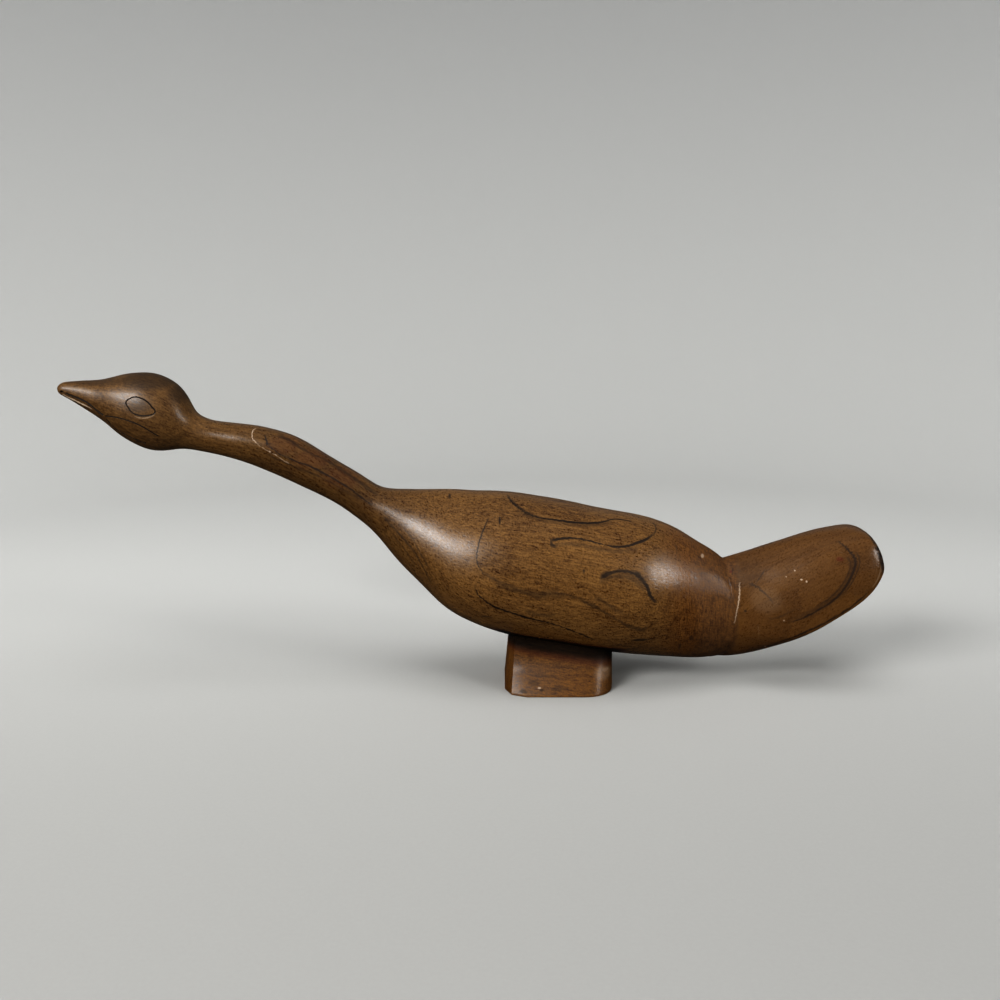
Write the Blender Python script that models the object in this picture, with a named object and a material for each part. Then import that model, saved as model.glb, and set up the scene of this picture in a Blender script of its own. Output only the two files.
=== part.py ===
"""Carved wooden goose on a small block foot, one solid piece.

Metres, +Z up. The goose looks along -X. The origin is the middle of the foot's sole.

The carver saws the side view out of one block, rounds it over, and leaves the foot on. The
model follows that order: rounded sections are strung along the beak, head, neck and body and
skinned as one form, the tail is a second form that leaves the rump at a crease, the foot is a
block, and the eyes, the mouth and the cheek lines are shallow grooves cut at the end.
"""

import math
from dataclasses import dataclass

import bmesh
import bpy
import numpy as np
from mathutils import Vector

MM = 0.001

# Foot: a block that is measured at the sole. Each face leans in by so many degrees on its way up
# to the belly. The sides slope out by FOOT_SWEEP degrees over the lowest part, up to
# FOOT_SWEEP_RISE, and come upright over as much again. The two corners under the breast are cut
# in a few flats, and the two behind are round.
FOOT_LENGTH = 39.5 * MM
FOOT_DEPTH = 36.0 * MM
FOOT_FRONT_CORNER = 8.0 * MM
FOOT_FRONT_FLATS = 2
FOOT_BACK_CORNER = 10.5 * MM
FOOT_BACK_FLATS = 8
FOOT_FRONT_LEAN = 5.0
FOOT_BACK_LEAN = -1.0
FOOT_SIDE_LEAN = 0.5
FOOT_SWEEP = 31.0
FOOT_SWEEP_RISE = 7.5 * MM
FOOT_SWEEP_STEPS = 4

# Body: its axis stands BODY_LIFT over the foot and falls towards the tail.
BODY_LIFT = 42.5 * MM
BODY_FALL = 10.0
BREAST_REACH = 68.0 * MM
RUMP_REACH = 60.5 * MM
BODY_HEIGHT = 53.0 * MM
BODY_WIDTH = 48.0 * MM

# Neck: from the breast to the nape, first steep and then nearly level.
NECK_REACH = 64.0 * MM
NECK_RISE = 27.5 * MM
NECK_THICKNESS = 12.0 * MM
NECK_WIDTH = 12.5 * MM

# Head: from the nape to the tip of the beak, tipped up.
HEAD_PITCH = 18.0
HEAD_LENGTH = 52.7 * MM
HEAD_HEIGHT = 26.8 * MM
HEAD_WIDTH = 20.0 * MM

# Tail: a thick lobe, rounded above and flat below, swept up from the crease to a blunt end.
TAIL_PITCH = 17.0
TAIL_LENGTH = 56.6 * MM
TAIL_HEIGHT = 39.8 * MM
TAIL_WIDTH = 32.0 * MM
CREASE_GAP = 3.4 * MM
CREASE_DROP = 2.4 * MM

# Carved lines: round grooves whose middle runs in the surface.
EYE_LENGTH = 10.6 * MM
EYE_HEIGHT = 5.8 * MM
EYE_TURN = 8.0
EYE_POINTS = 12
EYE_ALMOND = 1.2
GROOVE_RADIUS = 0.45 * MM

# Fineness of the skins.
RING_POINTS = 36
BODY_STEPS = 3
TAIL_STEPS = 2
GROOVE_STEP = 1.5 * MM
MERGE_REACH = 0.01 * MM
SHARP_ANGLE = 40.0

WOOD_COLOUR = (0.155, 0.072, 0.022, 1.0)
WOOD_ROUGHNESS = 0.42


@dataclass(frozen=True)
class Section:
    """One rounded section across a form, in shares of the form's own sizes.

    along runs down the form's axis, top and bottom are heights over and under that axis, and
    wide is the full width. lean tips the section, in degrees. belt is how far up the section
    its widest line lies. crown and keel shape it over and under the belt: 2 is an ellipse, and
    more is squarer.
    """

    along: float
    top: float
    bottom: float
    wide: float
    lean: float = 0.0
    belt: float = 0.5
    crown: float = 2.0
    keel: float = 2.0


@dataclass(frozen=True)
class Form:
    """A straight axis in the side view, with the sizes that its sections are shares of."""

    x: float
    z: float
    slope: float
    ahead: float
    behind: float
    height: float
    width: float

    def point(self, along: float, height: float) -> tuple[float, float]:
        """Side view point at a share of the length and a height in metres from the axis."""
        reach = along * (self.behind if along > 0 else self.ahead)
        angle = math.radians(self.slope)
        return (
            self.x + reach * math.cos(angle) - height * math.sin(angle),
            self.z + reach * math.sin(angle) + height * math.cos(angle),
        )

    def row(self, section: Section) -> list[float]:
        """The section in the part's frame: back x, z, belly x, z, width, belt, crown, keel."""
        tall = (section.top - section.bottom) * self.height
        middle = self.point(section.along, (section.top + section.bottom) / 2 * self.height)
        upright = math.radians(90 + self.slope - section.lean)
        half = (math.cos(upright) * tall / 2, math.sin(upright) * tall / 2)
        back = (middle[0] + half[0], middle[1] + half[1])
        belly = (middle[0] - half[0], middle[1] - half[1])
        return [*back, *belly, section.wide * self.width, section.belt, section.crown, section.keel]


# Body sections, from the root of the neck to the end of the rump inside the tail.
BODY_SECTIONS = (
    Section(-0.998, 0.374, 0.060, 0.325, lean=14),
    Section(-0.913, 0.385, -0.034, 0.40, lean=8, belt=0.46, crown=1.92),
    Section(-0.806, 0.408, -0.147, 0.52, lean=6, belt=0.42, crown=1.84),
    Section(-0.678, 0.438, -0.265, 0.69, lean=5, belt=0.40, crown=1.79),
    Section(-0.534, 0.458, -0.390, 0.86, lean=2.5, belt=0.40, crown=1.80),
    Section(-0.365, 0.485, -0.462, 0.965, belt=0.41, crown=1.87),
    Section(-0.165, 0.494, -0.498, 1.00, lean=-1, belt=0.43, crown=1.94),
    Section(0.035, 0.492, -0.500, 1.00, lean=-2, belt=0.44, crown=1.97),
    Section(0.260, 0.485, -0.500, 0.975, lean=-3, belt=0.44, crown=1.94),
    Section(0.486, 0.482, -0.489, 0.90, lean=-4.5, belt=0.43, crown=1.87),
    Section(0.689, 0.445, -0.470, 0.74, lean=-6, belt=0.42, crown=1.80),
    Section(0.866, 0.370, -0.449, 0.575, lean=-8, belt=0.42, crown=1.78),
    Section(1.000, 0.311, -0.412, 0.48, lean=-11, belt=0.44, crown=1.80),
    Section(1.065, 0.250, -0.375, 0.435, lean=-11, belt=0.46, crown=1.84),
    Section(1.120, 0.140, -0.300, 0.365, lean=-11, belt=0.48, crown=1.90),
    Section(1.152, 0.010, -0.215, 0.25, lean=-11),
    Section(1.162, -0.080, -0.140, 0.09, lean=-11),
)

# Neck stations: shares of its reach, rise, thickness and width, from the breast to the nape.
NECK_STATIONS = (
    (0.075, 0.105, 1.18, 1.08),
    (0.155, 0.232, 1.14, 1.02),
    (0.252, 0.370, 1.14, 1.00),
    (0.374, 0.529, 1.22, 1.02),
    (0.502, 0.692, 1.31, 1.06),
    (0.626, 0.804, 1.25, 1.06),
    (0.754, 0.888, 1.13, 1.02),
    (0.890, 0.949, 1.00, 0.96),
)

# Head sections, from the nape to the tip of the beak.
HEAD_SECTIONS = (
    Section(0.000, 0.228, -0.224, 0.61),
    Section(0.070, 0.261, -0.250, 0.67),
    Section(0.146, 0.399, -0.306, 0.82, belt=0.47),
    Section(0.235, 0.537, -0.381, 0.95, belt=0.45),
    Section(0.325, 0.590, -0.410, 1.00, belt=0.45),
    Section(0.427, 0.590, -0.384, 0.98, belt=0.46),
    Section(0.524, 0.530, -0.332, 0.89, belt=0.46),
    Section(0.621, 0.437, -0.250, 0.74, belt=0.46),
    Section(0.725, 0.310, -0.183, 0.57, belt=0.45),
    Section(0.835, 0.224, -0.127, 0.42, belt=0.45),
    Section(0.934, 0.146, -0.078, 0.29, belt=0.45),
    Section(0.981, 0.098, -0.052, 0.21, belt=0.45),
    Section(1.000, 0.048, -0.010, 0.09, belt=0.45),
)

# Tail sections, from inside the rump to the blunt end. The belt drops to the lower edge, so that
# the sides meet the flat underside in a crisp line, and the end is cut off square.
TAIL_SECTIONS = (
    Section(-0.283, 0.390, -0.334, 0.34, belt=0.48),
    Section(-0.142, 0.432, -0.440, 0.45, belt=0.45),
    Section(0.000, 0.450, -0.485, 0.57, belt=0.40, crown=1.95),
    Section(0.142, 0.450, -0.488, 0.72, belt=0.28, crown=1.9),
    Section(0.283, 0.455, -0.455, 0.86, belt=0.16, crown=1.85),
    Section(0.420, 0.462, -0.395, 0.96, belt=0.09, crown=1.85),
    Section(0.567, 0.466, -0.322, 1.00, belt=0.06, crown=1.9),
    Section(0.703, 0.460, -0.256, 0.98, belt=0.05, crown=2.0),
    Section(0.813, 0.440, -0.198, 0.93, belt=0.05, crown=2.15),
    Section(0.895, 0.412, -0.140, 0.86, belt=0.06, crown=2.4),
    Section(0.950, 0.366, -0.080, 0.79, belt=0.08, crown=2.8),
    Section(0.982, 0.315, -0.035, 0.73, belt=0.12, crown=3.2),
    Section(0.996, 0.245, 0.010, 0.68, belt=0.25, crown=3.6, keel=3.0),
    Section(1.000, 0.170, 0.050, 0.64, belt=0.50, crown=4.0, keel=4.0),
)

# Lines on the face, as shares of the head's length and height from the nape and its axis. The
# lip line runs from the cheek to the corner of the mouth and on to the tip.
LIP_LINE = ((0.222, -0.150), (0.275, -0.115), (0.349, -0.082), (0.436, -0.066), (0.524, -0.068),
            (0.600, -0.088), (0.640, -0.100), (0.680, -0.055), (0.735, -0.010), (0.850, -0.004),
            (0.960, 0.004))
THROAT_LINE = ((0.630, -0.140), (0.605, -0.172), (0.560, -0.215), (0.490, -0.262), (0.415, -0.296),
               (0.330, -0.318), (0.255, -0.305))
EYE_CENTRE = (0.388, 0.176)


def body_form() -> Form:
    """The body's axis, which crosses the foot's middle at BODY_LIFT."""
    return Form(0.0, BODY_LIFT, -BODY_FALL, BREAST_REACH, RUMP_REACH, BODY_HEIGHT, BODY_WIDTH)


def neck_root() -> tuple[float, float]:
    """Middle of the body's first section, where the neck springs."""
    row = body_form().row(BODY_SECTIONS[0])
    return (row[0] + row[2]) / 2, (row[1] + row[3]) / 2


def head_form() -> Form:
    """The head's axis, from the nape to the beak. Its length runs along -X."""
    x, z = neck_root()
    return Form(x - NECK_REACH, z + NECK_RISE, -HEAD_PITCH, HEAD_LENGTH, HEAD_LENGTH,
                HEAD_HEIGHT, HEAD_WIDTH)


def tail_form() -> Form:
    """The tail's axis, which starts behind the rump's last full section, under the body's axis."""
    x, z = body_form().point(1.0 + CREASE_GAP / RUMP_REACH, -CREASE_DROP)
    return Form(x, z, TAIL_PITCH, TAIL_LENGTH, TAIL_LENGTH, TAIL_HEIGHT, TAIL_WIDTH)


def neck_rows() -> list[list[float]]:
    """Neck sections square to the neck's own path, as rows in the part's frame."""
    x, z = neck_root()
    path = [(x, z)]
    path += [(x - reach * NECK_REACH, z + rise * NECK_RISE) for reach, rise, _, _ in NECK_STATIONS]
    path += [(x - NECK_REACH, z + NECK_RISE)]
    rows = []
    for index, (_, _, thick, wide) in enumerate(NECK_STATIONS, start=1):
        before, here, after = path[index - 1], path[index], path[index + 1]
        run = math.hypot(after[0] - before[0], after[1] - before[1])
        across = ((after[1] - before[1]) / run, (before[0] - after[0]) / run)
        half = thick * NECK_THICKNESS / 2
        rows.append([
            here[0] + across[0] * half, here[1] + across[1] * half,
            here[0] - across[0] * half, here[1] - across[1] * half,
            wide * NECK_WIDTH, 0.5, 2.0, 2.0,
        ])
    return rows


def spline_slopes(knots: np.ndarray, values: np.ndarray) -> np.ndarray:
    """Slopes at the knots of the smoothest curve through the values, free at both ends."""
    count = len(knots)
    steps = np.diff(knots)
    rates = np.diff(values, axis=0) / steps[:, None]
    system = np.zeros((count, count))
    target = np.zeros_like(values)
    system[0, :2] = (2, 1)
    system[-1, -2:] = (1, 2)
    target[0], target[-1] = 3 * rates[0], 3 * rates[-1]
    for i in range(1, count - 1):
        system[i, i - 1 : i + 2] = (steps[i], 2 * (steps[i - 1] + steps[i]), steps[i - 1])
        target[i] = 3 * (steps[i] * rates[i - 1] + steps[i - 1] * rates[i])
    return np.linalg.solve(system, target)


def between(values: np.ndarray, slopes: np.ndarray, i: int, gap: float, t: float) -> np.ndarray:
    """The smooth curve at the share t of the gap from value i to the next."""
    return ((1 + 2 * t) * (1 - t) ** 2 * values[i] + t * (1 - t) ** 2 * gap * slopes[i]
            + t * t * (3 - 2 * t) * values[i + 1] - t * t * (1 - t) * gap * slopes[i + 1])


def fair(rows: list[list[float]], steps: int) -> np.ndarray:
    """Rows of a smooth curve through the given rows, with steps rows from each to the next."""
    values = np.array(rows)
    gaps = np.linalg.norm(np.diff(values[:, :5], axis=0), axis=1)
    knots = np.concatenate(([0.0], np.cumsum(gaps)))
    slopes = spline_slopes(knots, values)
    result = []
    for i, gap in enumerate(gaps):
        result += [between(values, slopes, i, gap, t) for t in np.arange(steps) / steps]
    result.append(values[-1])
    return np.array(result)


def ring(row: np.ndarray) -> list[Vector]:
    """Points round one section, from its near side over the back and under the belly."""
    back, belly = Vector((row[0], 0, row[1])), Vector((row[2], 0, row[3]))
    wide, belt, crown, keel = row[4:]
    middle = belly.lerp(back, belt)
    points = []
    for step in range(RING_POINTS):
        angle = 2 * math.pi * step / RING_POINTS
        across, up = math.cos(angle), math.sin(angle)
        power = 2 / (crown if up > 0 else keel)
        arm = (back - middle) if up > 0 else (middle - belly)
        sideways = math.copysign(abs(across) ** power, across) * wide / 2
        points.append(middle + arm * math.copysign(abs(up) ** power, up) - Vector((0, sideways, 0)))
    return points


def skin(name: str, rows: np.ndarray) -> bpy.types.Object:
    """A closed form skinned over its sections, with a fan at each end."""
    shape = bmesh.new()
    rings = [[shape.verts.new(point) for point in ring(row)] for row in rows]
    for first, second in zip(rings, rings[1:]):
        for i in range(RING_POINTS):
            j = (i + 1) % RING_POINTS
            shape.faces.new((first[i], first[j], second[j], second[i]))
    for end in (rings[0], rings[-1]):
        middle = shape.verts.new(sum((vert.co for vert in end), Vector()) / RING_POINTS)
        for i in range(RING_POINTS):
            shape.faces.new((end[i], end[(i + 1) % RING_POINTS], middle))
    bmesh.ops.recalc_face_normals(shape, faces=shape.faces)
    return finish_object(name, shape)


def finish_object(name: str, shape: bmesh.types.BMesh) -> bpy.types.Object:
    """A new object that holds the shape."""
    mesh = bpy.data.meshes.new(name)
    shape.to_mesh(mesh)
    shape.free()
    return bpy.data.objects.new(name, mesh)


def head_neck_body_rows() -> np.ndarray:
    """Faired rows from the tip of the beak to the end of the rump."""
    head = head_form()
    rows = [mirror_row(head, section) for section in reversed(HEAD_SECTIONS)]
    rows += list(reversed(neck_rows()))
    rows += [body_form().row(section) for section in BODY_SECTIONS]
    return fair(rows, BODY_STEPS)


def mirror_row(head: Form, section: Section) -> list[float]:
    """A head section, whose shares run from the nape towards -X."""
    flipped = Section(-section.along, section.top, section.bottom, section.wide,
                      section.lean, section.belt, section.crown, section.keel)
    return head.row(flipped)


def foot_sweep(z: float) -> float:
    """How far a side of the foot has come in at a height over the sole."""
    low = min(z, 2 * FOOT_SWEEP_RISE)
    eased = max(low - FOOT_SWEEP_RISE, 0.0) ** 2 / (2 * FOOT_SWEEP_RISE)
    return math.tan(math.radians(FOOT_SWEEP)) * (low - eased)


def make_foot() -> bpy.types.Object:
    """The block foot, rooted at the body's axis, with leaning faces and swept sides."""
    shape = bmesh.new()
    bmesh.ops.create_cube(shape, size=1.0)
    bmesh.ops.scale(shape, vec=(FOOT_LENGTH, FOOT_DEPTH, BODY_LIFT), verts=shape.verts)
    bmesh.ops.translate(shape, vec=(0, 0, BODY_LIFT / 2), verts=shape.verts)
    front, back, side = (math.tan(math.radians(lean))
                         for lean in (FOOT_FRONT_LEAN, FOOT_BACK_LEAN, FOOT_SIDE_LEAN))
    for radius, flats, end in ((FOOT_FRONT_CORNER, FOOT_FRONT_FLATS, -1),
                               (FOOT_BACK_CORNER, FOOT_BACK_FLATS, 1)):
        corners = [edge for edge in shape.edges
                   if abs(edge.verts[0].co.z - edge.verts[1].co.z) > BODY_LIFT / 2
                   and all(vert.co.x * end > FOOT_LENGTH / 4 for vert in edge.verts)]
        bmesh.ops.bevel(shape, geom=corners, offset=radius, segments=flats, profile=0.5,
                        affect="EDGES")
    for step in range(FOOT_SWEEP_STEPS):
        everything = list(shape.verts) + list(shape.edges) + list(shape.faces)
        height = FOOT_SWEEP_RISE * (1 + step / (FOOT_SWEEP_STEPS - 1))
        bmesh.ops.bisect_plane(shape, geom=everything, plane_co=(0, 0, height), plane_no=(0, 0, 1))
    for vert in shape.verts:
        x, y, z = vert.co
        narrow = side * z + foot_sweep(z)
        vert.co.y = y * (1 - narrow / (FOOT_DEPTH / 2))
        vert.co.x = x * (1 - z * (front if x < 0 else back) / (FOOT_LENGTH / 2))
    return finish_object("foot_block", shape)


def side_point(rows: np.ndarray, x: float, z: float, side: int) -> Vector:
    """The point of the skinned form that shows at x, z in the side view, on one side.

    A place ahead of the beak takes the first section.
    """
    backs, bellies = rows[:, 0:2], rows[:, 2:4]
    here = np.array((x, z))
    chords = backs - bellies
    turned = (here - bellies)[:, 0] * chords[:, 1] - (here - bellies)[:, 1] * chords[:, 0]
    beyond = turned / np.linalg.norm(chords, axis=1)
    crossed = [i for i in range(len(rows) - 1) if beyond[i] > 0 >= beyond[i + 1]]
    index = crossed[0] if crossed else 0
    share = beyond[index] / (beyond[index] - beyond[index + 1]) if crossed else 0.0
    row = rows[index] * (1 - share) + rows[index + 1] * share
    chord = row[0:2] - row[2:4]
    height = float((here - row[2:4]) @ chord / (chord @ chord))
    wide, belt, crown, keel = row[4:]
    over = height > belt
    rise = (height - belt) / (1 - belt) if over else (belt - height) / belt
    power = crown if over else keel
    half = wide / 2 * max(1 - rise ** power, 0.0) ** (1 / power)
    return Vector((x, side * half, z))


def head_point(rows: np.ndarray, along: float, height: float, side: int) -> Vector:
    """A point on the head's skin at shares of its length and height."""
    x, z = head_form().point(-along, height * HEAD_HEIGHT)
    return side_point(rows, x, z, side)


def even_points(points: list[Vector], cyclic: bool) -> list[Vector]:
    """Points GROOVE_STEP apart or closer on a smooth curve through the given ones."""
    rows = [list(point) for point in points]
    if cyclic:
        rows = rows[-3:] + rows + rows[:4]
    values = np.array(rows)
    knots = np.concatenate(([0.0], np.cumsum(np.linalg.norm(np.diff(values, axis=0), axis=1))))
    slopes = spline_slopes(knots, values)
    first, last = (3, len(rows) - 4) if cyclic else (0, len(rows) - 1)
    result = []
    for i in range(first, last):
        gap = knots[i + 1] - knots[i]
        count = max(1, math.ceil(gap / GROOVE_STEP))
        result += [Vector(between(values, slopes, i, gap, t)) for t in np.arange(count) / count]
    if not cyclic:
        result.append(Vector(values[-1]))
    return result


def groove_cutter(name: str, points: list[Vector], cyclic: bool = False) -> bpy.types.Object:
    """A round cutter along the points, as a closed mesh."""
    curve = bpy.data.curves.new(name, "CURVE")
    curve.dimensions = "3D"
    curve.bevel_depth = GROOVE_RADIUS
    curve.bevel_resolution = 1
    curve.use_fill_caps = not cyclic
    path = even_points(points, cyclic)
    spline = curve.splines.new("POLY")
    spline.points.add(len(path) - 1)
    spline.use_cyclic_u = cyclic
    for target, point in zip(spline.points, path):
        target.co = (*point, 1.0)
    guide = bpy.data.objects.new(name + "_path", curve)
    bpy.context.scene.collection.objects.link(guide)
    evaluated = guide.evaluated_get(bpy.context.evaluated_depsgraph_get())
    mesh = bpy.data.meshes.new_from_object(evaluated)
    mesh.name = name
    cutter = bpy.data.objects.new(name, mesh)
    cutter.matrix_world = guide.matrix_world
    bpy.data.objects.remove(guide)
    shape = bmesh.new()
    shape.from_mesh(mesh)
    bmesh.ops.remove_doubles(shape, verts=shape.verts, dist=MERGE_REACH)
    bmesh.ops.recalc_face_normals(shape, faces=shape.faces)
    shape.to_mesh(mesh)
    shape.free()
    return cutter


def eye_points(rows: np.ndarray, side: int) -> list[Vector]:
    """An almond round the eye, turned a little nose down, drawn on the head's skin."""
    along, height = EYE_CENTRE
    turn = math.radians(EYE_TURN)
    points = []
    for step in range(EYE_POINTS):
        angle = 2 * math.pi * step / EYE_POINTS
        reach = EYE_LENGTH / 2 * math.cos(angle)
        rise = EYE_HEIGHT / 2 * math.copysign(abs(math.sin(angle)) ** EYE_ALMOND, math.sin(angle))
        points.append(head_point(
            rows,
            along + (reach * math.cos(turn) - rise * math.sin(turn)) / HEAD_LENGTH,
            height + (reach * math.sin(turn) + rise * math.cos(turn)) / HEAD_HEIGHT,
            side,
        ))
    return points


def groove_cutters(rows: np.ndarray) -> list[bpy.types.Object]:
    """Cutters for the eyes, the throat lines and the lip line, which rounds the beak's tip."""
    cutters = []
    sides = (("near", -1), ("far", 1))
    for word, side in sides:
        cutters.append(groove_cutter(f"eye_{word}", eye_points(rows, side), cyclic=True))
        throat = [head_point(rows, along, height, side) for along, height in THROAT_LINE]
        cutters.append(groove_cutter(f"throat_{word}", throat))
    near, far = ([head_point(rows, *spot, side) for spot in LIP_LINE] for _, side in sides)
    x, z = head_form().point(-1.0, LIP_LINE[-1][1] * HEAD_HEIGHT)
    cutters.append(groove_cutter("lips", [*near, Vector((x, 0, z)), *reversed(far)]))
    return cutters


def wood() -> bpy.types.Material:
    """Oiled brown hardwood."""
    material = bpy.data.materials.new("carved_wood")
    material.use_nodes = True
    shader = material.node_tree.nodes["Principled BSDF"]
    shader.inputs["Base Color"].default_value = WOOD_COLOUR
    shader.inputs["Roughness"].default_value = WOOD_ROUGHNESS
    shader.inputs["Metallic"].default_value = 0.0
    return material


def add_boolean(target: bpy.types.Object, other: bpy.types.Object, operation: str) -> None:
    """Join the other object to the target, or cut the target with it."""
    boolean = target.modifiers.new(other.name, "BOOLEAN")
    boolean.operation = operation
    boolean.object = other
    boolean.solver = "EXACT"


def main() -> None:
    """Model the goose as one solid."""
    for old in list(bpy.data.objects):
        bpy.data.objects.remove(old)
    parts = bpy.data.collections.new("goose_figurine")
    helpers = bpy.data.collections.new("cutters")
    for collection in (parts, helpers):
        bpy.context.scene.collection.children.link(collection)

    rows = head_neck_body_rows()
    goose = skin("goose", rows)
    parts.objects.link(goose)
    tail_rows = [tail_form().row(section) for section in TAIL_SECTIONS]
    tail = skin("tail_lobe", fair(tail_rows, TAIL_STEPS))
    joined = [tail, make_foot()]
    cut = groove_cutters(rows)
    for helper in joined + cut:
        helpers.objects.link(helper)
        helper.hide_render = True
        helper.display_type = "WIRE"
    for helper in joined:
        add_boolean(goose, helper, "UNION")
    for helper in cut:
        add_boolean(goose, helper, "DIFFERENCE")
    goose.data.materials.append(wood())
    goose.data.shade_smooth()
    goose.data.set_sharp_from_angle(angle=math.radians(SHARP_ANGLE))


main()
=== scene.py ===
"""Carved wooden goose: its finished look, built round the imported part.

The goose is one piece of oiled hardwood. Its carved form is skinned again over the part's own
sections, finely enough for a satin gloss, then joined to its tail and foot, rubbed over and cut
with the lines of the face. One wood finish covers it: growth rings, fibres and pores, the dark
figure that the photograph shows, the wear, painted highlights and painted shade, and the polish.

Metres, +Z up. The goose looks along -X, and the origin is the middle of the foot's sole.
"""

import logging
import math
from collections.abc import Callable
from dataclasses import dataclass, replace
from enum import Enum

import bmesh
import bpy
import numpy as np
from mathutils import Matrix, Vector
from mathutils.bvhtree import BVHTree


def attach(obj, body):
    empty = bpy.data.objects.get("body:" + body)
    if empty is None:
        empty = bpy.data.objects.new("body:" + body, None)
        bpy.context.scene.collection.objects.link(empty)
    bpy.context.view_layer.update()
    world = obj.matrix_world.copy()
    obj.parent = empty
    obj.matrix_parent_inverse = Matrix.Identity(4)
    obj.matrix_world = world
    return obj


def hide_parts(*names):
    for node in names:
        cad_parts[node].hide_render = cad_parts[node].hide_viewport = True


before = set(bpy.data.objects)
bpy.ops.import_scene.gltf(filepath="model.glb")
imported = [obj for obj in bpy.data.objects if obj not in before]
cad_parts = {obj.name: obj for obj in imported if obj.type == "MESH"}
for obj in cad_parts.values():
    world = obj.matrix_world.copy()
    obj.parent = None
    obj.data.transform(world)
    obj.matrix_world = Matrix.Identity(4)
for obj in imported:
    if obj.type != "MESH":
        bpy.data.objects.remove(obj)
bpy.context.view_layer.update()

log = logging.getLogger("goose")
MM = 0.001
TO_MM = (1 / MM, 1 / MM, 1 / MM)
HEAD_SPAN = (-200.0 * MM, -125.0 * MM)
CREASE_SPAN = (58.0 * MM, 76.0 * MM)
Pixel = tuple[float, float]
Colour = tuple[float, float, float, float]
Socket = bpy.types.NodeSocket
Value = Socket | float
Paint = Socket | Colour


@dataclass(frozen=True)
class Section:
    """One rounded section across a form, in shares of the form's own sizes.

    along runs down the form's axis, top and bottom are heights over and under that axis, and
    wide is the full width. lean tips the section, in degrees. belt is how far up the section
    its widest line lies. crown and keel shape it over and under the belt: 2 is an ellipse, and
    more is squarer.
    """

    along: float
    top: float
    bottom: float
    wide: float
    lean: float = 0.0
    belt: float = 0.5
    crown: float = 2.0
    keel: float = 2.0


@dataclass(frozen=True)
class Form:
    """A straight axis in the side view, with the sizes that its sections are shares of."""

    x: float
    z: float
    slope: float
    ahead: float
    behind: float
    height: float
    width: float

    def point(self, along: float, height: float) -> tuple[float, float]:
        """Find a point of the side view.

        Args:
            along: share of the form's length, from its origin.
            height: height over the axis, in metres.

        Returns:
            The point's x and z.
        """
        reach = along * (self.behind if along > 0 else self.ahead)
        angle = math.radians(self.slope)
        return (
            self.x + reach * math.cos(angle) - height * math.sin(angle),
            self.z + reach * math.sin(angle) + height * math.cos(angle),
        )

    def row(self, section: Section) -> list[float]:
        """Place a section in the goose's frame.

        Args:
            section: the section, in shares.

        Returns:
            Back x and z, belly x and z, width, belt, crown and keel.
        """
        tall = (section.top - section.bottom) * self.height
        middle = self.point(section.along, (section.top + section.bottom) / 2 * self.height)
        upright = math.radians(90 + self.slope - section.lean)
        half = (math.cos(upright) * tall / 2, math.sin(upright) * tall / 2)
        back = (middle[0] + half[0], middle[1] + half[1])
        belly = (middle[0] - half[0], middle[1] - half[1])
        return [*back, *belly, section.wide * self.width, section.belt, section.crown, section.keel]


def spline_slopes(knots: np.ndarray, values: np.ndarray) -> np.ndarray:
    """Find the slopes of the smoothest curve through the values, free at both ends.

    Args:
        knots: where the values lie along the curve.
        values: one row of values at each knot.

    Returns:
        One row of slopes at each knot.
    """
    count = len(knots)
    steps = np.diff(knots)
    rates = np.diff(values, axis=0) / steps[:, None]
    system = np.zeros((count, count))
    target = np.zeros_like(values)
    system[0, :2] = (2, 1)
    system[-1, -2:] = (1, 2)
    target[0], target[-1] = 3 * rates[0], 3 * rates[-1]
    for i in range(1, count - 1):
        system[i, i - 1 : i + 2] = (steps[i], 2 * (steps[i - 1] + steps[i]), steps[i - 1])
        target[i] = 3 * (steps[i] * rates[i - 1] + steps[i - 1] * rates[i])
    return np.linalg.solve(system, target)


def fair(rows: list[list[float]], steps: int) -> np.ndarray:
    """Draw the smooth curve through rows of numbers.

    Args:
        rows: the rows that the curve passes through.
        steps: how many rows lie from each given row to the next.

    Returns:
        The rows of the curve.
    """
    values = np.array(rows)
    gaps = np.linalg.norm(np.diff(values[:, :5], axis=0), axis=1)
    slopes = spline_slopes(np.concatenate(([0.0], np.cumsum(gaps))), values)
    result = []
    for i, gap in enumerate(gaps):
        for t in np.arange(steps) / steps:
            result.append(
                (1 + 2 * t) * (1 - t) ** 2 * values[i] + t * (1 - t) ** 2 * gap * slopes[i]
                + t * t * (3 - 2 * t) * values[i + 1] - t * t * (1 - t) * gap * slopes[i + 1]
            )
    result.append(values[-1])
    return np.array(result)


@dataclass(frozen=True)
class Fineness:
    """How closely a skin's rings stand: coarse all over, and fine round some places in x."""

    coarse: float = 1.0 * MM
    fine: float = 0.5 * MM
    places: tuple[tuple[float, float], ...] = ()

    def space(self, rows: np.ndarray) -> np.ndarray:
        """Pick rows along a faired curve.

        Args:
            rows: many rows of a faired skin.

        Returns:
            Fewer rows, as close together as this fineness asks.
        """
        middles = (rows[:, 0:2] + rows[:, 2:4]) / 2
        steps = np.linalg.norm(np.diff(middles, axis=0), axis=1)
        steps = np.maximum(steps, np.linalg.norm(np.diff(rows[:, :4], axis=0), axis=1) / 2)
        gap = np.full(len(steps), self.coarse)
        for low, high in self.places:
            inside = (middles[1:, 0] > low) & (middles[1:, 0] < high)
            gap[inside] = self.fine
        gap = np.convolve(np.pad(gap, 20, mode="edge"), np.ones(41) / 41, mode="valid")
        count = np.concatenate(([0.0], np.cumsum(steps / gap)))
        picks = np.linspace(0.0, count[-1], int(count[-1]) + 1)
        return np.stack([np.interp(picks, count, column) for column in rows.T], axis=1)


def only(piece: bpy.types.Object) -> None:
    """Select one object alone and make it active."""
    bpy.ops.object.select_all(action="DESELECT")
    piece.select_set(True)
    bpy.context.view_layer.objects.active = piece


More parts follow.
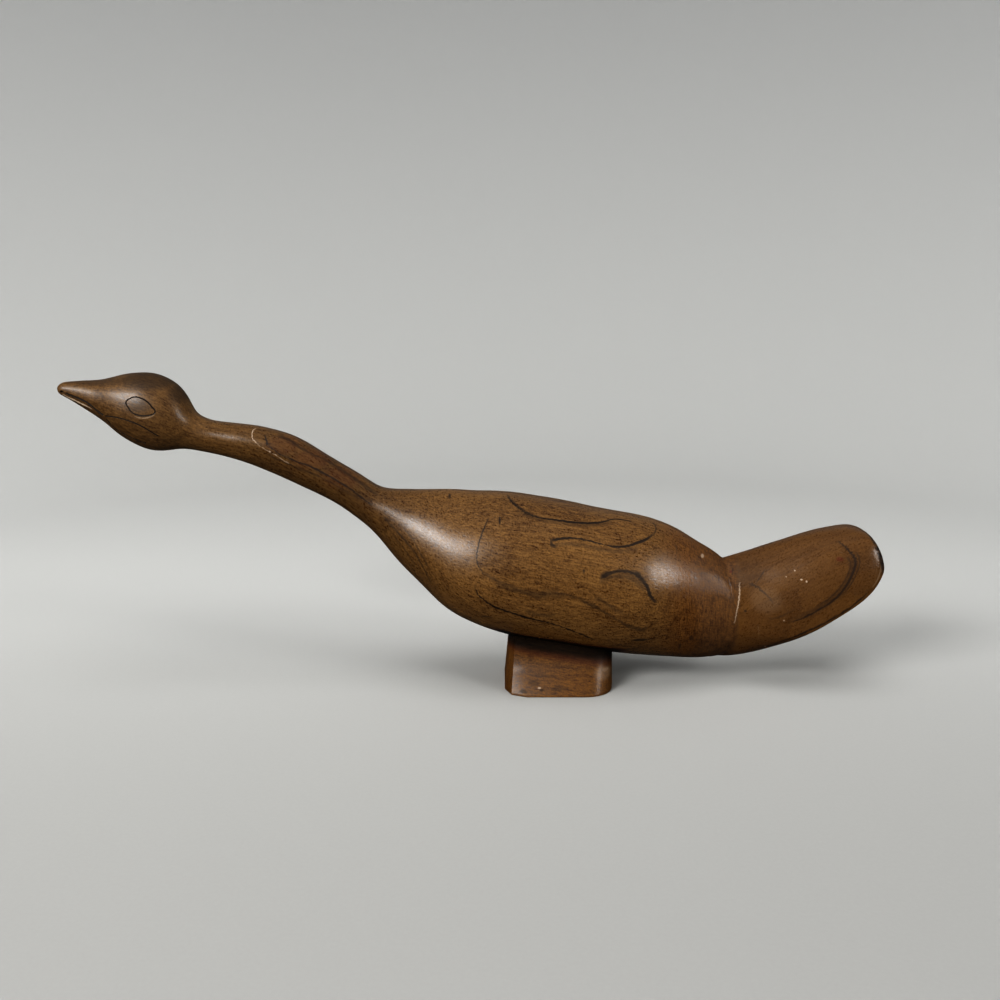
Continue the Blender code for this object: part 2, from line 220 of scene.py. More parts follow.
def edit(piece: bpy.types.Object, *steps: tuple) -> None:
    """Run edit mode operators on a whole piece.

    Args:
        piece: the piece.
        steps: pairs of an operator and its settings.
    """
    only(piece)
    bpy.ops.object.mode_set(mode="EDIT")
    bpy.ops.mesh.select_all(action="SELECT")
    for operator, settings in steps:
        operator(**settings)
    bpy.ops.object.mode_set(mode="OBJECT")


def select_edges(piece: bpy.types.Object, wanted: Callable) -> None:
    """Select the edges of a piece whose two ends pass a test, in object mode."""
    only(piece)
    bpy.ops.object.mode_set(mode="EDIT")
    bpy.ops.mesh.select_mode(type="EDGE")
    bpy.ops.mesh.select_all(action="DESELECT")
    bpy.ops.object.mode_set(mode="OBJECT")
    vertices = piece.data.vertices
    for edge in piece.data.edges:
        edge.select = wanted(*(vertices[i].co for i in edge.vertices))


def corners(piece: bpy.types.Object) -> np.ndarray:
    """Read a piece's vertices as rows of x, y and z."""
    places = np.empty(len(piece.data.vertices) * 3, np.float32)
    piece.data.vertices.foreach_get("co", places)
    return places.reshape(-1, 3).astype(float)


def move_corners(piece: bpy.types.Object, places: np.ndarray) -> None:
    """Write a piece's vertices."""
    piece.data.vertices.foreach_set("co", places.astype(np.float32).ravel())
    piece.data.update()


def apply_modifier(piece: bpy.types.Object, name: str, kind: str, **settings) -> None:
    """Add a modifier to a piece and apply it.

    Args:
        piece: the piece.
        name: the modifier's name.
        kind: Blender's name for the kind of modifier.
        settings: the modifier's own settings.
    """
    only(piece)
    modifier = piece.modifiers.new(name, kind)
    for key, value in settings.items():
        setattr(modifier, key, value)
    bpy.ops.object.modifier_apply(modifier=modifier.name)


@dataclass(frozen=True)
class ViewPoint:
    """The photograph's camera: where it stands, how far it looks down and how wide it sees."""

    aim: tuple[float, float, float] = (-21.5 * MM, 0.0, 69.0 * MM)
    distance: float = 365.0 * MM
    down: float = 11.0
    half_field: float = 26.5
    sensor: float = 36.0
    middle: float = 500.0

    def axes(self) -> tuple[Vector, Vector, Vector]:
        """Give the directions right, up and forward of the view."""
        angle = math.radians(self.down)
        up = Vector((0.0, math.sin(angle), math.cos(angle)))
        forward = Vector((0.0, math.cos(angle), -math.sin(angle)))
        return Vector((1.0, 0.0, 0.0)), up, forward

    def place(self) -> Vector:
        """Give the camera's place."""
        return Vector(self.aim) - self.distance * self.axes()[2]

    def ray(self, pixel: Pixel) -> Vector:
        """Find the direction in which a pixel looks.

        Args:
            pixel: a place in the photograph, from its upper left corner.

        Returns:
            The direction, of length one.
        """
        right, up, forward = self.axes()
        focal = self.middle / math.tan(math.radians(self.half_field))
        across = (pixel[0] - self.middle) / focal
        over = (self.middle - pixel[1]) / focal
        return (forward + across * right + over * up).normalized()

    def hit(self, tree: BVHTree, pixel: Pixel) -> Vector:
        """Find the point of a piece that a pixel shows.

        Args:
            tree: the piece's faces.
            pixel: a place in the photograph.

        Returns:
            The point hit, or the nearest point of the piece where the pixel just misses it.
        """
        ray = self.ray(pixel)
        found = tree.ray_cast(self.place(), ray)[0]
        if found is None:
            depth = -self.place().y / ray.y
            found = tree.find_nearest(self.place() + ray * depth)[0]
        return found

    def build(self) -> bpy.types.Object:
        """Set the camera up and make it the scene's."""
        bpy.ops.object.camera_add(
            location=self.place(), rotation=(math.radians(90 - self.down), 0.0, 0.0))
        camera = bpy.context.object
        camera.name = "photograph_view"
        camera.data.sensor_width = self.sensor
        camera.data.lens = self.sensor / 2 / math.tan(math.radians(self.half_field))
        camera.data.clip_start = 0.01
        bpy.context.scene.camera = camera
        return camera


@dataclass(frozen=True)
class Body:
    """The body's axis, which stands over the foot and falls towards the tail."""

    lift: float = 42.5 * MM
    fall: float = 10.0
    breast_reach: float = 68.0 * MM
    rump_reach: float = 60.5 * MM
    height: float = 53.0 * MM
    width: float = 48.0 * MM
    sections: tuple[Section, ...] = (
        Section(-0.998, 0.374, 0.060, 0.325, lean=14),
        Section(-0.913, 0.385, -0.034, 0.40, lean=8, belt=0.46, crown=1.92),
        Section(-0.806, 0.408, -0.147, 0.52, lean=6, belt=0.42, crown=1.84),
        Section(-0.678, 0.438, -0.265, 0.69, lean=5, belt=0.40, crown=1.79),
        Section(-0.534, 0.458, -0.390, 0.86, lean=2.5, belt=0.40, crown=1.80),
        Section(-0.365, 0.485, -0.462, 0.965, belt=0.41, crown=1.87),
        Section(-0.165, 0.494, -0.498, 1.00, lean=-1, belt=0.43, crown=1.94),
        Section(0.035, 0.492, -0.500, 1.00, lean=-2, belt=0.44, crown=1.97),
        Section(0.260, 0.485, -0.500, 0.975, lean=-3, belt=0.44, crown=1.94),
        Section(0.486, 0.482, -0.489, 0.90, lean=-4.5, belt=0.43, crown=1.87),
        Section(0.689, 0.445, -0.470, 0.74, lean=-6, belt=0.42, crown=1.80),
        Section(0.866, 0.370, -0.449, 0.575, lean=-8, belt=0.42, crown=1.78),
        Section(1.000, 0.311, -0.412, 0.48, lean=-11, belt=0.44, crown=1.80),
        Section(1.065, 0.250, -0.375, 0.435, lean=-11, belt=0.46, crown=1.84),
        Section(1.120, 0.140, -0.300, 0.365, lean=-11, belt=0.48, crown=1.90),
        Section(1.152, 0.010, -0.215, 0.25, lean=-11),
        Section(1.162, -0.080, -0.140, 0.09, lean=-11),
    )

    def form(self) -> Form:
        """Give the body's axis and sizes."""
        return Form(0.0, self.lift, -self.fall, self.breast_reach, self.rump_reach,
                    self.height, self.width)

    def rows(self) -> list[list[float]]:
        """Give the body's sections in the goose's frame, from the breast to the rump."""
        return [self.form().row(section) for section in self.sections]


@dataclass(frozen=True)
class Neck:
    """The neck's path from the breast to the nape, and its thickness on the way.

    Each station holds shares of the reach, rise, thickness and width.
    """

    body: Body
    reach: float = 64.0 * MM
    rise: float = 27.5 * MM
    thickness: float = 12.0 * MM
    width: float = 12.5 * MM
    stations: tuple[tuple[float, float, float, float], ...] = (
        (0.075, 0.105, 1.18, 1.08),
        (0.155, 0.232, 1.14, 1.02),
        (0.252, 0.370, 1.14, 1.00),
        (0.374, 0.529, 1.22, 1.02),
        (0.502, 0.692, 1.31, 1.06),
        (0.626, 0.804, 1.25, 1.06),
        (0.754, 0.888, 1.13, 1.02),
        (0.890, 0.949, 1.00, 0.96),
    )

    def root(self) -> tuple[float, float]:
        """Give the middle of the body's first section, where the neck springs."""
        row = self.body.rows()[0]
        return (row[0] + row[2]) / 2, (row[1] + row[3]) / 2

    def nape(self) -> tuple[float, float]:
        """Give the point where the neck meets the head."""
        x, z = self.root()
        return x - self.reach, z + self.rise

    def rows(self) -> list[list[float]]:
        """Give the neck's sections, square to its path, from the breast to the nape."""
        x, z = self.root()
        path = [(x, z)]
        path += [(x - reach * self.reach, z + rise * self.rise)
                 for reach, rise, _, _ in self.stations]
        path += [self.nape()]
        rows = []
        for index, (_, _, thick, wide) in enumerate(self.stations, start=1):
            before, here, after = path[index - 1], path[index], path[index + 1]
            run = math.hypot(after[0] - before[0], after[1] - before[1])
            across = ((after[1] - before[1]) / run, (before[0] - after[0]) / run)
            half = thick * self.thickness / 2
            rows.append([
                here[0] + across[0] * half, here[1] + across[1] * half,
                here[0] - across[0] * half, here[1] - across[1] * half,
                wide * self.width, 0.5, 2.0, 2.0,
            ])
        return rows


@dataclass(frozen=True)
class Head:
    """The head's axis, tipped up, from the nape to the tip of the beak."""

    neck: Neck
    pitch: float = 18.0
    length: float = 52.7 * MM
    height: float = 26.8 * MM
    width: float = 20.0 * MM
    sections: tuple[Section, ...] = (
        Section(0.000, 0.228, -0.224, 0.61),
        Section(0.070, 0.261, -0.250, 0.67),
        Section(0.146, 0.399, -0.306, 0.82, belt=0.47),
        Section(0.235, 0.537, -0.381, 0.95, belt=0.45),
        Section(0.325, 0.590, -0.410, 1.00, belt=0.45),
        Section(0.427, 0.590, -0.384, 0.98, belt=0.46),
        Section(0.524, 0.530, -0.332, 0.89, belt=0.46),
        Section(0.621, 0.437, -0.250, 0.74, belt=0.46),
        Section(0.725, 0.310, -0.183, 0.57, belt=0.45),
        Section(0.835, 0.224, -0.127, 0.42, belt=0.45),
        Section(0.934, 0.146, -0.078, 0.29, belt=0.45),
        Section(0.981, 0.098, -0.052, 0.21, belt=0.45),
        Section(1.000, 0.048, -0.010, 0.09, belt=0.45),
    )

    def rows(self) -> list[list[float]]:
        """Give the head's sections, from the tip of the beak to the nape."""
        form = Form(*self.neck.nape(), -self.pitch, self.length, self.length, self.height,
                    self.width)
        return [form.row(replace(section, along=-section.along))
                for section in reversed(self.sections)]


@dataclass(frozen=True)
class Tail:
    """The tail: a thick lobe, rounded above and flat below, swept up from the crease."""

    body: Body
    pitch: float = 17.0
    length: float = 56.6 * MM
    height: float = 39.8 * MM
    width: float = 32.0 * MM
    gap: float = 3.4 * MM
    drop: float = 2.4 * MM
    sections: tuple[Section, ...] = (
        Section(-0.283, 0.390, -0.334, 0.34, belt=0.48),
        Section(-0.142, 0.432, -0.440, 0.45, belt=0.45),
        Section(0.000, 0.450, -0.485, 0.57, belt=0.40, crown=1.95),
        Section(0.142, 0.450, -0.488, 0.72, belt=0.28, crown=1.9),
        Section(0.283, 0.455, -0.455, 0.86, belt=0.16, crown=1.85),
        Section(0.420, 0.462, -0.395, 0.96, belt=0.09, crown=1.85),
        Section(0.567, 0.466, -0.322, 1.00, belt=0.06, crown=1.9),
        Section(0.703, 0.460, -0.256, 0.98, belt=0.05, crown=2.0),
        Section(0.813, 0.440, -0.198, 0.93, belt=0.05, crown=2.15),
        Section(0.895, 0.412, -0.140, 0.86, belt=0.06, crown=2.4),
        Section(0.950, 0.366, -0.080, 0.79, belt=0.08, crown=2.8),
        Section(0.982, 0.315, -0.035, 0.73, belt=0.12, crown=3.2),
        Section(0.996, 0.245, 0.010, 0.68, belt=0.25, crown=3.6, keel=3.0),
        Section(1.000, 0.170, 0.050, 0.64, belt=0.50, crown=4.0, keel=4.0),
    )

    def form(self) -> Form:
        """Give the tail's axis, which starts behind the rump, and its sizes."""
        root = self.body.form().point(1.0 + self.gap / self.body.rump_reach, -self.drop)
        return Form(*root, self.pitch, self.length, self.length, self.height, self.width)

    def rows(self) -> list[list[float]]:
        """Give the tail's sections, from inside the rump to the blunt end."""
        return [self.form().row(section) for section in self.sections]


@dataclass(frozen=True)
class Skin:
    """Skins rounded sections over a sphere's rings, from pole to pole."""

    around: int = 144
    curve_steps: int = 60

    def rings(self, rows: np.ndarray) -> np.ndarray:
        """Find the points round each section.

        Args:
            rows: placed sections.

        Returns:
            Points by section, by place round it, by x, y and z.
        """
        angle = 2 * math.pi * np.arange(self.around) / self.around
        across, up = np.cos(angle)[None, :], np.sin(angle)[None, :]
        back, belly = rows[:, 0:2], rows[:, 2:4]
        wide, belt, crown, keel = (rows[:, i][:, None] for i in range(4, 8))
        middle = belly + (back - belly) * belt
        power = 2 / np.where(up > 0, crown, keel)
        sideways = np.sign(across) * np.abs(across) ** power * wide / 2
        rise = np.sign(up) * np.abs(up) ** power
        arms = [np.where(up > 0, (back - middle)[:, i : i + 1], (middle - belly)[:, i : i + 1])
                for i in (0, 1)]
        x, z = (middle[:, i : i + 1] + arm * rise for i, arm in enumerate(arms))
        return np.stack([x, -sideways, z], axis=2)

    def build(self, name: str, rows: list[list[float]], fineness: Fineness) -> bpy.types.Object:
        """Skin a form.

        Args:
            name: the new piece's name.
            rows: the form's placed sections, from end to end.
            fineness: how closely the rings stand.

        Returns:
            The closed piece.
        """
        rings = self.rings(fineness.space(fair(rows, self.curve_steps)))
        bpy.ops.object.select_all(action="DESELECT")
        bpy.ops.mesh.primitive_uv_sphere_add(
            segments=self.around, ring_count=len(rings) + 1, radius=1.0)
        piece = bpy.context.object
        piece.name = name
        ball = corners(piece)
        layer = np.arccos(np.clip(ball[:, 2], -1, 1)) / math.pi * (len(rings) + 1)
        layer = np.rint(layer).astype(int)
        turn = np.rint(np.arctan2(ball[:, 1], ball[:, 0]) / (2 * math.pi) * self.around).astype(int)
        places = rings[np.clip(layer - 1, 0, len(rings) - 1), turn % self.around]
        places[layer == 0] = rings[0].mean(axis=0)
        places[layer == len(rings) + 1] = rings[-1].mean(axis=0)
        move_corners(piece, places)
        edit(piece, (bpy.ops.mesh.normals_make_consistent, {"inside": False}))
        return piece


@dataclass(frozen=True)
class Foot:
    """The block foot: leaning faces, sides swept out at the sole, two cut and two round corners."""

    length: float = 39.5 * MM
    depth: float = 36.0 * MM
    root: float = 42.5 * MM
    front_corner: float = 8.0 * MM
    front_flats: int = 2
    back_corner: float = 10.5 * MM
    back_flats: int = 12
    front_lean: float = 5.0
    back_lean: float = -1.0
    side_lean: float = 0.5
    sweep: float = 31.0
    sweep_rise: float = 7.5 * MM
    sole_edge: float = 0.6 * MM
    layer: float = 0.8 * MM

    def build(self) -> bpy.types.Object:
        """Model the foot up to the body's axis.

        Returns:
            The closed block.
        """
        bpy.ops.object.select_all(action="DESELECT")
        bpy.ops.mesh.primitive_cube_add(size=1.0, location=(0.0, 0.0, self.root / 2))
        piece = bpy.context.object
        piece.name = "foot_block"
        piece.scale = (self.length, self.depth, self.root)
        bpy.ops.object.transform_apply(location=True, rotation=True, scale=True)
        self.bevel(piece, lambda a, b: abs(a.z - b.z) > self.root / 2 and a.x < 0 and b.x < 0,
                   self.front_corner, self.front_flats)
        self.bevel(piece, lambda a, b: abs(a.z - b.z) > self.root / 2 and a.x > 0 and b.x > 0
                   and abs(a.x - b.x) < self.length / 4 and a.x > self.length / 4,
                   self.back_corner, self.back_flats)
        self.bevel(piece, lambda a, b: max(a.z, b.z) < self.sole_edge, self.sole_edge, 2)
        for height in np.arange(2 * self.sole_edge, self.root * 0.75, self.layer):
            edit(piece, (bpy.ops.mesh.bisect, {"plane_co": (0.0, 0.0, height),
                                               "plane_no": (0.0, 0.0, 1.0)}))
        places = corners(piece)
        x, y, z = places.T
        front, back, side = (math.tan(math.radians(lean))
                             for lean in (self.front_lean, self.back_lean, self.side_lean))
        low = np.minimum(z, 2 * self.sweep_rise)
        eased = np.clip(low - self.sweep_rise, 0.0, None) ** 2 / (2 * self.sweep_rise)
        narrow = side * z + math.tan(math.radians(self.sweep)) * (low - eased)
        places[:, 1] = y * (1 - narrow / (self.depth / 2))
        places[:, 0] = x * (1 - z * np.where(x < 0, front, back) / (self.length / 2))
        move_corners(piece, places)
        return piece

    def bevel(self, piece: bpy.types.Object, wanted: Callable, width: float,
              segments: int) -> None:
        """Round the edges that pass a test.

        Args:
            piece: the block.
            wanted: the test, given both ends of an edge.
            width: the bevel's width, in metres.
            segments: faces across the bevel.
        """
        select_edges(piece, wanted)
        bpy.ops.object.mode_set(mode="EDIT")
        bpy.ops.mesh.bevel(offset=width, segments=segments, profile=0.5, affect="EDGES")
        bpy.ops.object.mode_set(mode="OBJECT")


@dataclass(frozen=True)
class Groove:
    """A line cut in the face, given by the pixels that it passes through."""

    name: str
    pixels: tuple[Pixel, ...]
    radius: float
    closed: bool = False
    both: bool = False

    def build(self, view: ViewPoint, tree: BVHTree, side: int) -> bpy.types.Object:
        """Lay the cutter on the goose's skin.

        Args:
            view: the photograph's camera.
            tree: the goose's faces.
            side: -1 on the near side, 1 on the far one.

        Returns:
            The closed cutter.
        """
        spots = [view.hit(tree, pixel) for pixel in self.pixels]
        spots = [Vector((spot.x, -side * spot.y, spot.z)) for spot in spots]
        if self.both:
            spots = [*spots, *(Vector((p.x, -p.y, p.z)) for p in reversed(spots))]
        bpy.ops.object.select_all(action="DESELECT")
        bpy.ops.curve.primitive_bezier_curve_add()
        guide = bpy.context.object
        guide.name = f"{self.name}_{'near' if side < 0 else 'far'}"
        curve = guide.data
        curve.splines.clear()
        curve.dimensions = "3D"
        curve.bevel_depth = self.radius
        curve.bevel_resolution = 1
        curve.resolution_u = 6
        curve.use_fill_caps = not self.closed
        spline = curve.splines.new("BEZIER")
        spline.bezier_points.add(len(spots) - 1)
        spline.use_cyclic_u = self.closed
        for point, spot in zip(spline.bezier_points, spots):
            point.co = spot
            point.handle_left_type = point.handle_right_type = "AUTO"
        bpy.ops.object.convert(target="MESH")
        cutter = bpy.context.object
        edit(cutter, (bpy.ops.mesh.remove_doubles, {"threshold": 0.00001}),
             (bpy.ops.mesh.normals_make_consistent, {"inside": False}))
        return cutter


@dataclass(frozen=True)
class FaceLines:
    """The lines of the face: the eyes, the mouth, the cheeks and the throat."""

    eye: tuple[Pixel, ...] = (
        (126.0, 402.0), (129.5, 398.8), (134.7, 397.0), (140.8, 398.2), (146.9, 401.6),
        (151.6, 406.6), (155.0, 412.2), (151.0, 414.9), (145.0, 415.9), (138.5, 415.4),
        (132.7, 413.0), (128.6, 408.0),
    )
    cheek: tuple[Pixel, ...] = (
        (105.4, 415.8), (115.3, 417.2), (127.6, 420.4), (139.8, 425.3), (150.0, 431.2),
        (158.2, 436.0),
    )
    mouth: tuple[Pixel, ...] = (
        (103.4, 415.2), (97.5, 411.0), (89.8, 404.4), (80.6, 399.2), (70.4, 395.2), (61.5, 391.6),
    )
    throat: tuple[Pixel, ...] = (
        (106.8, 419.4), (112.0, 425.6), (121.4, 432.4), (133.7, 438.6), (146.0, 443.4),
    )
    cut: float = 0.27 * MM
    mouth_cut: float = 0.41 * MM

    def build(self, view: ViewPoint, tree: BVHTree) -> list[bpy.types.Object]:
        """Lay all the cutters.

        Args:
            view: the photograph's camera.
            tree: the goose's faces.

        Returns:
            The cutters.
        """
        mouth = Groove("mouth", self.mouth, self.mouth_cut, both=True)
        cutters = [mouth.build(view, tree, -1)]
        for side in (-1, 1):
            cutters.append(Groove("eye", self.eye, self.cut, closed=True).build(view, tree, side))
            cutters.append(Groove("cheek", self.cheek, self.cut).build(view, tree, side))
            cutters.append(Groove("throat", self.throat, self.cut).build(view, tree, side))
        return cutters


class Run(Enum):
    """Which way a stroke of the figure runs."""

    LENGTHWISE = "along the goose"
    UPWARD = "round the goose"


class Tone(Enum):
    """What a stroke of the figure does to the wood's colour. INK also paints shade, and PALE also
    paints highlights.
    """

    INK = "dark figure"
    PALE = "bare scratch"
    RUST = "reddish figure"


@dataclass(frozen=True)
class Stroke:
    """One line of the wood's figure, a scratch, a painted highlight or a painted shade, by the
    pixels that it passes through.

    width is in millimetres, depth is how strong it is from 0 to 1, and blur is the share of
    its half width over which it fades.
    """

    name: str
    pixels: tuple[Pixel, ...]
    width: float
    depth: float
    blur: float = 0.6
    run: Run = Run.LENGTHWISE
    tone: Tone = Tone.INK
    swell: float = 0.0


